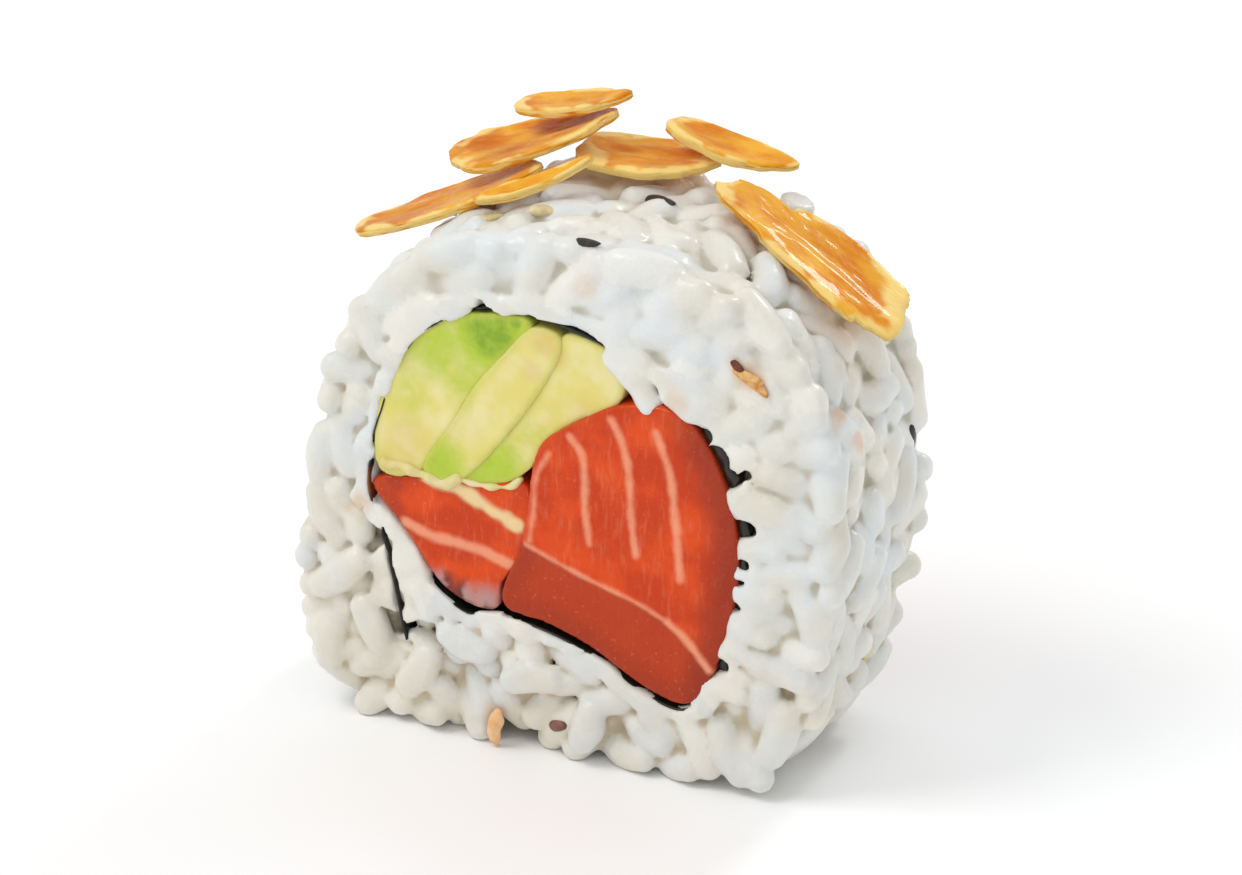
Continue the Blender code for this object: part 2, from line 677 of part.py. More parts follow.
def flake_mesh(length, width, curl, twist, draw):
    """A thin slice of almond along X, egg-shaped, uneven at its rim and curled, at the origin."""
    rng = np.random.default_rng(draw)
    waves = rng.uniform(-1, 1, 4)
    bm = bmesh.new()
    rings = []
    for share, thick in FLAKE_RINGS:
        ring = []
        for i in range(FLAKE_POINTS):
            angle = 2 * math.pi * i / FLAKE_POINTS
            ragged = 1 + 0.05 * waves[0] * math.sin(3 * angle) + 0.04 * waves[1] * math.cos(5 * angle)
            narrow = 1 - 0.22 * math.cos(angle)
            x = share * ragged * length / 2 * math.cos(angle)
            y = share * ragged * width / 2 * math.sin(angle) * narrow
            lift = curl * (2 * x / length) ** 2 + twist * (x / length) * (2 * y / width)
            ring.append((x, y, lift, thick * FLAKE_THICKNESS / 2))
        rings.append(ring)
    upper = [[bm.verts.new((x, y, z + half)) for x, y, z, half in ring] for ring in rings]
    lower = [[bm.verts.new((x, y, z - half)) for x, y, z, half in ring] for ring in rings]
    for side, crown in ((upper, FLAKE_THICKNESS / 2), (lower, -FLAKE_THICKNESS / 2)):
        middle = bm.verts.new((0, 0, crown))
        for i in range(FLAKE_POINTS):
            j = (i + 1) % FLAKE_POINTS
            bm.faces.new((middle, side[0][i], side[0][j]))
            for inner, outer in zip(side, side[1:]):
                bm.faces.new((inner[i], outer[i], outer[j], inner[j]))
    for i in range(FLAKE_POINTS):
        j = (i + 1) % FLAKE_POINTS
        bm.faces.new((upper[-1][i], lower[-1][i], lower[-1][j], upper[-1][j]))
    bmesh.ops.triangulate(bm, faces=bm.faces)
    return bm


def surface_tree(objects):
    """A search tree over the faces of some objects."""
    corners, faces = [], []
    for obj in objects:
        offset = len(corners)
        corners += [vertex.co.copy() for vertex in obj.data.vertices]
        faces += [[offset + i for i in polygon.vertices] for polygon in obj.data.polygons]
    return BVHTree.FromPolygons(corners, faces), corners


def settle(flake, toward, beneath):
    """Moves a flake along a direction until only the usual gap is left to what lies beneath it."""
    toward = Vector(toward).normalized()
    ground, ground_corners = surface_tree(beneath)
    own, own_corners = surface_tree([flake])
    spots = own_corners + [polygon.center.copy() for polygon in flake.data.polygons]
    free = []
    for spot in spots:
        hit = ground.ray_cast(spot - toward * DROP_HEIGHT * MM, toward)
        if hit[0]:
            free.append(hit[3] - DROP_HEIGHT * MM)
    for corner in ground_corners:
        hit = own.ray_cast(corner + toward * DROP_HEIGHT * MM, -toward)
        if hit[0]:
            free.append(hit[3] - DROP_HEIGHT * MM)
    if free:
        flake.data.transform(Matrix.Translation(toward * (min(free) - FLAKE_GAP * MM)))


def build_flake(name, middle, along, tilt, size, shape, beneath):
    """One almond flake, laid on the rice or on other flakes."""
    length, width = size
    curl, twist, draw = shape
    along = Vector(along).normalized()
    across = Vector((0, 0, 1)).cross(along).normalized()
    across = Matrix.Rotation(math.radians(tilt), 3, along) @ across
    upwards = along.cross(across)
    turn = Matrix((along, across, upwards)).transposed().to_4x4()
    bm = flake_mesh(length, width, curl, twist, draw)
    bmesh.ops.transform(bm, matrix=Matrix.Translation(Vector(middle)) @ turn, verts=bm.verts)
    flake = make_object(name, bm, "almond")
    settle(flake, -upwards, beneath)
    return flake


def main():
    """Builds the slice, piece by piece."""
    for obj in list(bpy.data.objects):
        bpy.data.objects.remove(obj)
    rice = build_rice()
    build_nori()
    build_fillings()
    laid = [rice]
    for name, (middle, along, tilt, size, shape) in FLAKES.items():
        laid.append(build_flake(name, middle, along, tilt, size, shape, laid))


main()
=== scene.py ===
"""The looks of one slice of an uramaki roll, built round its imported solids.

Lengths are in millimetres in the shapes and are turned to metres where a mesh is made. X runs to the right
across the cut face, Y runs along the roll and into the slice, and Z is up. The cut face that is looked at
is at -Y, and the slice stands on the floor at Z = 0.
"""

import logging
import math
from dataclasses import dataclass, field
from enum import Enum

import bpy
import numpy as np
from mathutils import Matrix, Vector
from mathutils.bvhtree import BVHTree


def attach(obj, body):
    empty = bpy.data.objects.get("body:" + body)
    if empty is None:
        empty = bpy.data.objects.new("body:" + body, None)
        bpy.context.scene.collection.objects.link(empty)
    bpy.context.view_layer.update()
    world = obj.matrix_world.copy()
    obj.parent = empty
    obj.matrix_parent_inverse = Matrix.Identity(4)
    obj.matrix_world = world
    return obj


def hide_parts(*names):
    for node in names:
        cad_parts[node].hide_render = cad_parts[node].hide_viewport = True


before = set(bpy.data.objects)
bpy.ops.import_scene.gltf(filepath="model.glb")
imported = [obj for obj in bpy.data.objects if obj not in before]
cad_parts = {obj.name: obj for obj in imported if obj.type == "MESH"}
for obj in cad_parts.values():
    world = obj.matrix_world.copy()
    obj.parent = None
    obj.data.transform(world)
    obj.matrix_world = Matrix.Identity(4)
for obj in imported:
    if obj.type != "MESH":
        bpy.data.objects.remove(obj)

LOG = logging.getLogger("uramaki_slice")
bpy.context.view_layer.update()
BODY = "root"
MM = 0.001

# The slice, as its solids have it
FACE = 9.5
RICE_OUTLINE = (
    (-19.0, 0.3), (-8.0, 0.0), (5.0, 0.0), (15.4, 0.3), (19.8, 4.8), (22.3, 13.0), (23.3, 24.0),
    (22.0, 34.0), (17.6, 40.8), (10.6, 44.3), (1.5, 45.2), (-8.6, 44.2), (-17.2, 39.2), (-21.6, 31.0),
    (-23.6, 21.5), (-24.7, 12.5), (-24.0, 4.5),
)
NORI_ROUTE = (
    (-12.6, 13.4), (-9.0, 11.3), (-4.2, 11.5), (1.5, 10.0), (7.0, 7.1), (10.7, 7.0), (13.5, 12.3),
    (15.0, 20.5), (13.8, 27.8), (9.4, 33.9), (1.8, 37.7), (-6.6, 38.8), (-13.4, 35.2), (-17.3, 28.2),
    (-18.4, 21.2), (-17.0, 15.0), (-15.0, 8.6),
)
# How far the front edge of the nori leans inwards, at each point of its route
NORI_LEAN = (0.0, 0.0, 0.05, 0.1, 0.15, 0.15, 0.0, 0.0, 0.0, 0.0, 0.0, 0.15, 0.25, 0.8, 0.55, 0.9, 0.1)
WEDGE_EDGE = ((-17.5, 20.3), (-15.6, 18.7), (-13.6, 16.2), (-12.6, 14.4))
FLAP_SPANS = 2.34
NORI_THICKNESS = 0.45

# Where the edge of the nori shows on the cut face, as lines. Rice is smeared over the rest.
BARE_NORI = (
    ((-14.4, 32.6), (-13.4, 34.2), (-12.3, 35.4), (-11.2, 36.3)), ((-16.5, 29.0), (-16.8, 27.1), (-17.3, 25.4)),
    ((-17.6, 22.6), (-17.8, 21.3), (-17.4, 19.9)), ((-7.5, 38.9), (-7.4, 38.0)),
    ((-2.9, 38.2), (-0.5, 38.2), (1.6, 37.7), (4.3, 36.4)),
    ((-16.1, 17.1), (-15.9, 15.3), (-15.4, 13.0), (-15.3, 11.2), (-14.9, 8.2)),
    ((-12.5, 13.5), (-11.0, 12.2), (-9.2, 11.5)),
    ((-5.3, 11.7), (-3.0, 11.3), (0.8, 10.3), (4.2, 8.7), (7.0, 7.2), (10.2, 6.8)),
)
BARE_REACH = 0.8

# Slits that the knife left open in the smeared rice: half their width and their line
SLITS = (
    (0.27, ((-16.1, 16.4), (-15.95, 14.8), (-15.5, 12.8), (-15.45, 11.2), (-15.1, 9.4), (-14.8, 7.6))),
    (0.2, ((-15.5, 7.5), (-14.2, 7.5))),
    (0.28, ((-2.8, 37.9), (-0.6, 38.0), (1.4, 37.7), (3.2, 36.9), (4.3, 36.2))),
    (0.24, ((-14.3, 32.6), (-13.5, 34.1), (-12.4, 35.2), (-11.4, 36.0))),
    (0.24, ((-16.3, 28.8), (-16.6, 27.1), (-17.0, 25.6))),
    (0.3, ((-7.5, 38.8), (-7.4, 38.1))),
)

# Gaps in the rice that show a fold of the nori: their middles and reaches
NORI_POCKETS = (
    (11.7, 31.0, 0.7), (12.7, 29.4, 1.3), (13.9, 27.9, 0.95), (15.2, 28.6, 0.5), (15.2, 23.8, 1.0),
    (15.0, 20.9, 0.6), (14.7, 19.0, 0.5), (14.5, 17.0, 0.55), (13.2, 11.6, 0.6),
)


class Slot(Enum):
    """The record's material slots."""

    RICE = "rice"
    NORI = "nori"
    AVOCADO = "avocado"
    SALMON = "salmon"
    ALMOND = "almond"


class Home(Enum):
    """The layer of the rice that a grain lies in."""

    SKIN = 0
    FRONT = 1
    BACK = 2


# Numbers and curves


def smoothstep(low: float, high: float, value: np.ndarray) -> np.ndarray:
    """A soft step from 0 below one value to 1 above another.

    Args:
        low: Where the step begins.
        high: Where the step ends.
        value: The values to turn into shares.

    Returns:
        The shares, from 0 to 1.
    """
    share = np.clip((value - low) / (high - low), 0.0, 1.0)
    return share * share * (3.0 - 2.0 * share)


def smooth_max(first: np.ndarray, second: np.ndarray, rounding: float) -> np.ndarray:
    """The larger of two distances, with the corner where they meet rounded.

    Args:
        first: Signed distances.
        second: Signed distances of the same shape.
        rounding: The size of the rounded corner.

    Returns:
        The rounded maximum.
    """
    near = np.maximum(rounding - np.abs(first - second), 0.0) / rounding
    return np.maximum(first, second) + near * near * rounding / 4.0


def smooth_curve(points: np.ndarray, steps: int, closed: bool) -> np.ndarray:
    """A smooth curve through points on the cut face.

    Args:
        points: The points that the curve runs through.
        steps: How many pieces each span is divided into.
        closed: Whether the curve returns to its first point.

    Returns:
        The points of the curve.
    """
    knots = np.array(points, dtype=float)
    if closed:
        before, start, after, far = (np.roll(knots, shift, axis=0) for shift in (1, 0, -1, -2))
    else:
        padded = np.vstack([2 * knots[0] - knots[1], knots, 2 * knots[-1] - knots[-2]])
        before, start, after, far = padded[:-3], padded[1:-2], padded[2:-1], padded[3:]
    spans = []
    for share in np.arange(steps) / steps:
        linear_part = (after - before) * share
        square = (2 * before - 5 * start + 4 * after - far) * share ** 2
        cubic = (3 * start - before - 3 * after + far) * share ** 3
        spans.append(start + 0.5 * (linear_part + square + cubic))
    curve = np.stack(spans, axis=1).reshape(-1, 2)
    return curve if closed else np.vstack([curve, knots[-1]])


def side_directions(curve: np.ndarray) -> np.ndarray:
    """The direction to the left of an open curve at each of its points.

    Args:
        curve: The points of the curve.

    Returns:
        A direction of length 1 for each point.
    """
    along = np.gradient(curve, axis=0)
    along /= np.linalg.norm(along, axis=1, keepdims=True)
    return np.stack([-along[:, 1], along[:, 0]], axis=1)


def distance_to_curve(points: np.ndarray, curve: np.ndarray, closed: bool) -> np.ndarray:
    """How far points on the cut face are from a curve.

    Args:
        points: The points, one in each row.
        curve: The points of the curve.
        closed: Whether the curve returns to its first point.

    Returns:
        The distances, all positive.
    """
    starts = curve if closed else curve[:-1]
    ends = np.roll(curve, -1, axis=0) if closed else curve[1:]
    nearest = np.full(len(points), np.inf)
    for start, end in zip(starts, ends):
        along = end - start
        reach = points - start
        share = np.clip(reach @ along / max(along @ along, 1e-9), 0.0, 1.0)
        nearest = np.minimum(nearest, np.hypot(*(reach - share[:, None] * along).T))
    return nearest


def signed_distance(points: np.ndarray, loop: np.ndarray) -> np.ndarray:
    """How far points on the cut face are outside a closed loop, negative inside it.

    Args:
        points: The points, one in each row.
        loop: The corners of the loop.

    Returns:
        The signed distances.
    """
    x, z = points[:, 0], points[:, 1]
    inside = np.zeros(len(points), dtype=bool)
    for start, end in zip(loop, np.roll(loop, -1, axis=0)):
        if start[1] == end[1]:
            continue
        crosses = (start[1] > z) != (end[1] > z)
        where = start[0] + (z - start[1]) / (end[1] - start[1]) * (end[0] - start[0])
        inside ^= crosses & (x < where)
    return distance_to_curve(points, loop, True) * np.where(inside, -1.0, 1.0)


def distance_to_discs(points: np.ndarray, discs: tuple[tuple[float, float, float], ...]) -> np.ndarray:
    """How far points on the cut face are outside the nearest of some discs.

    Args:
        points: The points, one in each row.
        discs: Each disc's middle and radius.

    Returns:
        The signed distances, negative inside a disc.
    """
    nearest = np.full(len(points), np.inf)
    for x, z, radius in discs:
        nearest = np.minimum(nearest, np.hypot(points[:, 0] - x, points[:, 1] - z) - radius)
    return nearest


def distance_to_bare_nori(points: np.ndarray) -> np.ndarray:
    """How far points on the cut face are outside the places where the nori's edge shows."""
    lines = [distance_to_curve(points, np.array(line), False) for line in BARE_NORI]
    return np.min(lines, axis=0) - BARE_REACH


class Lumps:
    """Smooth random waves in space, from about -1 to 1, the same on each run."""

    CELLS = 32

    def __init__(self, size: float, seed: int) -> None:
        """Draws the waves.

        Args:
            size: The size of one lump.
            seed: The draw.
        """
        self.size = size
        self.heights = np.random.default_rng(seed).uniform(-1.0, 1.0, (self.CELLS,) * 3)

    def at(self, points: np.ndarray) -> np.ndarray:
        """The height of the waves.

        Args:
            points: Places in space, one in each row.

        Returns:
            The height at each place.
        """
        place = points / self.size + 100.5
        low = np.floor(place).astype(int)
        part = place - low
        part = part * part * (3.0 - 2.0 * part)
        total = np.zeros(len(points))
        for corner in np.ndindex(2, 2, 2):
            weight = np.prod(np.where(np.array(corner) == 1, part, 1.0 - part), axis=1)
            i, j, k = ((low + np.array(corner)) % self.CELLS).T
            total += weight * self.heights[i, j, k]
        return total * 1.6


# Solids as fields of distances


class DistanceGrid:
    """A block of space cut into small cubes, with a signed distance at each corner, negative inside."""

    def __init__(self, low: tuple[float, float, float], high: tuple[float, float, float], step: float) -> None:
        """Lays out the corners.

        Args:
            low: The lowest corner of the block.
            high: The highest corner of the block.
            step: The side of a cube.
        """
        self.low = np.array(low)
        self.step = step
        self.axes = [np.arange(a, b + step, step) for a, b in zip(low, high)]
        self.shape = tuple(len(axis) for axis in self.axes)
        self.x = self.axes[0][:, None, None]
        self.y = self.axes[1][None, :, None]
        self.z = self.axes[2][None, None, :]

    def face_points(self) -> np.ndarray:
        """The corners as seen on the cut face, one in each row."""
        return np.stack(np.meshgrid(self.axes[0], self.axes[2], indexing="ij"), axis=-1).reshape(-1, 2)

    def on_face(self, values: np.ndarray) -> np.ndarray:
        """Values at the face's points, laid out so that they hold at every depth."""
        return values.reshape(self.shape[0], 1, self.shape[2])

    def points(self) -> np.ndarray:
        """All corners, one in each row."""
        return np.stack(np.meshgrid(*self.axes, indexing="ij"), axis=-1).reshape(-1, 3)

    def near(self, low: np.ndarray, high: np.ndarray) -> tuple[slice, slice, slice]:
        """The part of the block between two corners.

        Args:
            low: The lowest corner of the part.
            high: The highest corner of the part.

        Returns:
            The slices that pick the part out of the block.
        """
        first = np.clip(((low - self.low) / self.step).astype(int), 0, None)
        last = np.clip(((high - self.low) / self.step).astype(int) + 2, 0, self.shape)
        return tuple(slice(a, max(a, b)) for a, b in zip(first, last))

    def skin(self, values: np.ndarray) -> tuple[np.ndarray, np.ndarray]:
        """The surface where the distance is nought, as one point in each cube that it passes through.

        Args:
            values: The signed distance at each corner.

        Returns:
            The points in millimetres and the four-sided faces.
        """
        inside = values < 0
        counts = sum(inside[i:i - 1 or None, j:j - 1 or None, k:k - 1 or None].astype(np.int8)
                     for i, j, k in np.ndindex(2, 2, 2))
        cubes = np.argwhere((counts > 0) & (counts < 8))
        number = np.full(counts.shape, -1)
        number[tuple(cubes.T)] = np.arange(len(cubes))
        total = np.zeros((len(cubes), 3))
        crossings = np.zeros(len(cubes))
        for axis in range(3):
            for start in np.ndindex(2, 2, 2):
                if start[axis] == 1:
                    continue
                end = np.array(start)
                end[axis] = 1
                a = values[tuple((cubes + start).T)]
                b = values[tuple((cubes + end).T)]
                crossed = (a < 0) != (b < 0)
                share = np.where(crossed, a / np.where(crossed, a - b, 1.0), 0.0)
                spot = np.array(start, dtype=float) + share[:, None] * (end - np.array(start))
                total += spot * crossed[:, None]
                crossings += crossed
        points = self.low + (cubes + total / crossings[:, None]) * self.step
        return points, self._faces(inside, number)

    def _faces(self, inside: np.ndarray, number: np.ndarray) -> np.ndarray:
        """The faces between the points of four cubes round each crossed edge.

        Args:
            inside: Whether each corner is inside.
            number: The number of each cube's point, or -1.

        Returns:
            The faces, each turned to the outside.
        """
        faces = []
        for axis in range(3):
            others = [other for other in range(3) if other != axis]
            start = [slice(1, -1)] * 3
            end = [slice(1, -1)] * 3
            start[axis], end[axis] = slice(0, -1), slice(1, None)
            first, second = inside[tuple(start)], inside[tuple(end)]
            edges = np.argwhere(first != second)
            outwards = first[tuple(edges.T)]
            base = edges.copy()
            for other in others:
                base[:, other] += 1
            corners = []
            for back in ((0, 0), (1, 0), (1, 1), (0, 1)):
                cube = base.copy()
                for other, shift in zip(others, back):
                    cube[:, other] -= shift
                corners.append(number[tuple(cube.T)])
            quads = np.stack(corners, axis=1)
            turned = outwards if axis != 1 else ~outwards
            quads[~turned] = quads[~turned][:, ::-1]
            faces.append(quads)
        return np.vstack(faces)


def relaxed(points: np.ndarray, faces: np.ndarray, rounds: int, share: float) -> np.ndarray:
    """A mesh's points, each moved towards the mean of its neighbours.

    Args:
        points: The points.
        faces: The four-sided faces.
        rounds: How many times the points are moved.
        share: How far they are moved each time.

    Returns:
        The moved points.
    """
    starts = np.concatenate([faces[:, i] for i in range(4)])
    ends = np.concatenate([faces[:, (i + 1) % 4] for i in range(4)])
    valence = np.maximum(np.bincount(starts, minlength=len(points)), 1)
    for _ in range(rounds):
        mean = np.stack([np.bincount(starts, points[ends, axis], len(points)) for axis in range(3)], axis=1)
        points = points + share * (mean / valence[:, None] - points)
    return points


def normals_of(points: np.ndarray, faces: np.ndarray) -> np.ndarray:
    """The direction to the outside at each point of a mesh.

    Args:
        points: The points.
        faces: The faces, all with as many corners.

    Returns:
        A direction of length 1 for each point.
    """
    across = np.cross(points[faces[:, 2]] - points[faces[:, 0]], points[faces[:, -1]] - points[faces[:, 1]])
    total = np.zeros_like(points)
    for column in faces.T:
        for axis in range(3):
            total[:, axis] += np.bincount(column, across[:, axis], len(points))
    return total / np.maximum(np.linalg.norm(total, axis=1, keepdims=True), 1e-9)


def make_piece(name: str, points: np.ndarray, faces: list | np.ndarray, material: bpy.types.Material,
               attributes: dict[str, np.ndarray] | None = None) -> bpy.types.Object:
    """An object from points in millimetres.

    Args:
        name: The piece's name.
        points: The corners of its mesh.
        faces: The faces, as rows of corner numbers.
        material: Its material.
        attributes: Numbers at each corner that the material reads, by name.

    Returns:
        The object, in the scene and shaded smooth.
    """
    mesh = bpy.data.meshes.new(name)
    mesh.from_pydata((np.asarray(points) * MM).tolist(), [], [list(map(int, face)) for face in faces])
    mesh.materials.append(material)
    for attribute, values in (attributes or {}).items():
        layer = mesh.attributes.new(attribute, "FLOAT", "POINT")
        layer.data.foreach_set("value", np.asarray(values, dtype=np.float32))
    mesh.shade_smooth()
    mesh.update()
    piece = bpy.data.objects.new(name, mesh)
    bpy.context.scene.collection.objects.link(piece)
    return piece


def settle(piece: bpy.types.Object, node: str | None = None) -> None:
    """Hides the solid that a piece stands in for, and hangs the piece on the body that it rides on.

    Args:
        piece: The piece.
        node: The solid that the piece replaces, or None.
    """
    if node:
        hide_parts(node)
    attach(piece, BODY)


def join_shapes(shapes: list[tuple[np.ndarray, list]]) -> tuple[np.ndarray, list]:
    """Many small meshes as one.

    Args:
        shapes: The points and the faces of each.

    Returns:
        All points and all faces.
    """
    points, faces, count = [], [], 0
    for own_points, own_faces in shapes:
        points.append(own_points)
        faces += [[corner + count for corner in face] for face in own_faces]
        count += len(own_points)
    return np.vstack(points), faces


# Finishes


def linear(colour: str) -> tuple[float, float, float, float]:
    """An sRGB hex colour as the linear light that Blender's sockets take.

    Args:
        colour: Six hex digits after a #.

    Returns:
        Red, green, blue and an alpha of 1.
    """
    shares = [int(colour[i:i + 2], 16) / 255.0 for i in (1, 3, 5)]
    light = [s / 12.92 if s <= 0.04045 else ((s + 0.055) / 1.055) ** 2.4 for s in shares]
    return (*light, 1.0)


class Graph:
    """A material and the nodes that make it."""

    def __init__(self, name: str) -> None:
        """Starts an empty material.

        Args:
            name: The material's name.
        """
        self.material = bpy.data.materials.new(name)
        self.material.use_nodes = True
        self.tree = self.material.node_tree
        self.tree.nodes.clear()
        self.place = self.add("TexCoord", output="Object")

    def add(self, kind: str, sockets: dict | None = None, output: int | str = 0,
            **settings: object) -> bpy.types.NodeSocket | None:
        """Adds a node with its settings and links.

        Args:
            kind: Blender's name for the kind of node, without ShaderNode.
            sockets: A value, a hex colour or another node's output for each input, by name or number.
            output: Which of the node's outputs is handed on.
            **settings: The node's own settings.

        Returns:
            That output, or None where the node has none.
        """
        node = self.tree.nodes.new("ShaderNode" + kind)
        for setting, value in settings.items():
            setattr(node, setting, value)
        for socket, value in (sockets or {}).items():
            if isinstance(value, bpy.types.NodeSocket):
                self.tree.links.new(value, node.inputs[socket])
            else:
                node.inputs[socket].default_value = linear(value) if isinstance(value, str) else value
        return node.outputs[output] if node.outputs else None

    def pattern(self, size: float, detail: float = 2.0, roughness: float = 0.5,
                stretch: tuple[float, float, float] = (1.0, 1.0, 1.0),
                where: bpy.types.NodeSocket | None = None) -> bpy.types.NodeSocket:
        """Random patches of a real size, longer along some axes.

        Args:
            size: The size of a patch in millimetres.
            detail: How many finer layers are added.
            roughness: How strong the finer layers are.
            stretch: How much longer the patches are along each axis.
            where: The place to read them at, or None for the place in the object.

        Returns:
            The output that holds them, from 0 to 1.
        """
        scale = tuple(1.0 / share for share in stretch)
        place = self.add("Mapping", {"Vector": where or self.place, "Scale": scale})
        return self.add("TexNoise", {
            "Vector": place, "Scale": 1.0 / (size * MM), "Detail": detail, "Roughness": roughness})

    def paint(self, below: str, coats: tuple) -> bpy.types.NodeSocket:
        """Colours laid over each other.

        Args:
            below: The lowest colour.
            coats: Each coat's colour and what shows it: an output, or the name of numbers that the mesh
                keeps. Where two numbers follow, it is stepped softly between them, and two more say
                what the step gives below and above in place of 0 and 1.

        Returns:
            The output that holds the colours.
        """
        for colour, shown, *step in coats:
            if isinstance(shown, str):
                shown = self.add("Attribute", output="Fac", attribute_name=shown)
            if step:
                ends = dict(zip(("From Min", "From Max", "To Min", "To Max"), step))
                shown = self.add("MapRange", {"Value": shown, **ends}, interpolation_type="SMOOTHSTEP")
            below = self.add("Mix", {0: shown, 6: below, 7: colour}, 2, data_type="RGBA")
        return below

    def uneven(self, name: str, pattern: bpy.types.NodeSocket, low: float, high: float,
               start: float, end: float) -> bpy.types.NodeSocket:
        """Numbers that the mesh keeps, made uneven by a pattern.

        Args:
            name: The name of the numbers.
            pattern: The pattern.
            low: Where a soft step in the pattern begins.
            high: Where it ends.
            start: What is added below the step.
            end: What is added above it.

        Returns:
            The output that holds the sum.
        """
        kept = self.add("Attribute", output="Fac", attribute_name=name)
        added = self.add("MapRange", {"Value": pattern, "From Min": low, "From Max": high, "To Min": start,
                                      "To Max": end}, interpolation_type="SMOOTHSTEP")
        return self.add("Math", {0: kept, 1: added}, operation="ADD")

    def close(self, sockets: dict, gloss: tuple = (), reliefs: tuple = ()) -> bpy.types.Material:
        """Closes the material with its relief and its surface.

        Args:
            sockets: The values and links of the Principled shader.
            gloss: A pattern, and the roughness where it is low and where it is high.
            reliefs: Each relief's pattern and its real depth in millimetres, the lowest first.

        Returns:
            The material.
        """
        if gloss:
            pattern, smooth, rough = gloss
            sockets["Roughness"] = self.add("MapRange", {
                "Value": pattern, "From Min": 0.3, "From Max": 0.7, "To Min": smooth, "To Max": rough,
            }, interpolation_type="SMOOTHSTEP")
        for height, depth in reliefs:
            below = {"Normal": sockets["Normal"]} if "Normal" in sockets else {}
            sockets["Normal"] = self.add("Bump", {
                "Height": height, "Distance": depth * MM, "Strength": 1.0, **below})
        surface = self.add("BsdfPrincipled", sockets, subsurface_method="RANDOM_WALK")
        self.add("OutputMaterial", {"Surface": surface})
        return self.material


@dataclass(frozen=True)
class SteamedRice:
    """Short-grain rice, steamed and dressed: pearly, slightly clear and moist, with painted shade where grains
    part and a painted beige shade low down and at the left.
    """

    grain: str = "#dfdcd1"
    cool_grain: str = "#dce0e0"
    chalky_grain: str = "#eeebe2"
    # gap: painted shade, a greyer beige laid into the crevices between grains and into pits deep in the rice
    gap: str = "#b8af9a"
    # Painted shade: a beige laid low down and at the left side, deepest in crevices, and also as a faint random
    # tint
    warm_shade_and_tint_grain: str = "#cdbda0"
    stain: str = "#dda468"

    def material(self) -> bpy.types.Material:
        """The rice's material.

        Returns:
            The material.
        """
        g = Graph("steamed_sushi_rice")
        starch = g.pattern(0.9, 3.0, 0.6)
        body = g.paint(self.grain, (
            (self.cool_grain, g.pattern(6.0, 1.0), 0.35, 0.65),
            (self.chalky_grain, "tone", 0.55, 1.0, 0.0, 0.6),
            (self.chalky_grain, g.pattern(1.4, 3.0, 0.6), 0.45, 0.75, 0.0, 0.35),
            # The gap coat is painted shade in crevices; the next coat is painted beige shade low down and at
            # the left, with a faint random tint; stain is real staining.
            (self.gap, "gap", 0.1, 1.0, 0.0, 0.8), (self.warm_shade_and_tint_grain, "warm_shade_and_tint"), (self.stain, "stain"),
        ))
        return g.close({
            "Base Color": body, "IOR": 1.38, "Subsurface Weight": 0.3, "Subsurface Radius": (1.0, 0.95, 0.85),
            "Subsurface Scale": 0.0008, "Coat Weight": 0.25, "Coat Roughness": 0.16,
        }, (starch, 0.30, 0.5), ((g.pattern(0.25), 0.02), (starch, 0.10)))


@dataclass(frozen=True)
class ToastedNori:
    """Pressed and toasted seaweed, moist from the rice: near black with a green and brown cast."""

    sheet: str = "#10130c"
    worn: str = "#33241a"
    green: str = "#1c2813"
    rubbed: str = "#7c431a"

    def material(self) -> bpy.types.Material:
        """The nori's material.

        Returns:
            The material.
        """
        g = Graph("toasted_nori")
        strands = g.pattern(0.6, 4.0, 0.65, (1.0, 3.0, 1.0))
        body = g.paint(self.sheet, (
            (self.green, strands, 0.45, 0.7, 0.0, 0.5), (self.worn, g.pattern(3.0), 0.55, 0.7, 0.0, 0.55),
            (self.rubbed, "brown"),
        ))
        return g.close({"Base Color": body, "IOR": 1.45, "Coat Weight": 0.2, "Coat Roughness": 0.3},
                       (strands, 0.35, 0.6), ((strands, 0.08),))


@dataclass(frozen=True)
class RawSalmon:
    """Raw salmon, cut with a wet knife: clear orange muscle with pale lines of fat, and a wet gloss."""

    muscle: str = "#df4a08"
    deep_muscle: str = "#c83a06"
    lower_muscle: str = "#b53a12"
    fat: str = "#f2a07c"
    # edge: painted shade, a darker red laid along the outline of each strip, deepest near its right and left
    # ends and along its bottom
    edge: str = "#8f2c16"
    clear_film: str = "#b78f8c"
    dark_film: str = "#63322f"
    cream: str = "#efdba4"

    def material(self) -> bpy.types.Material:
        """The salmon's material.

        Returns:
            The material.
        """
        g = Graph("raw_salmon")
        wobble = g.pattern(1.6, 3.0, 0.6)
        fibres = g.pattern(0.45, 3.0, 0.6, (1.0, 4.0, 5.0))
        film = g.paint(self.clear_film, ((self.dark_film, g.pattern(2.0, 2.0, 0.55), 0.38, 0.6),))
        body = g.paint(self.muscle, (
            (self.deep_muscle, g.pattern(3.5, 3.0), 0.35, 0.65), (self.fat, fibres, 0.5, 0.75, 0.0, 0.16),
            # The edge coat is painted shade along the outline, beside the nori and the other strips.
            (self.lower_muscle, "lower"), (self.edge, "edge"), (film, "film"),
            (self.fat, g.uneven("fat", wobble, 0.2, 0.8, -0.12, 0.12), 0.0, 0.62, 0.85, 0.0),
            # Fine pale flecks in the colour of fat, which also serve as painted glints on the wet flesh.
            (self.fat, g.pattern(0.3, 1.0), 0.66, 0.8, 0.0, 0.25), (self.cream, "cream", 0.0, 1.0, 0.0, 0.85),
        ))
        return g.close({
            "Base Color": body, "IOR": 1.36, "Specular IOR Level": 0.25, "Subsurface Weight": 0.1,
            "Subsurface Radius": (1.0, 0.3, 0.15), "Subsurface Scale": 0.001, "Coat Weight": 0.2,
            "Coat Roughness": 0.08,
        }, (wobble, 0.24, 0.45), ((g.pattern(0.35), 0.035), (g.pattern(1.0), 0.1), (fibres, 0.07)))


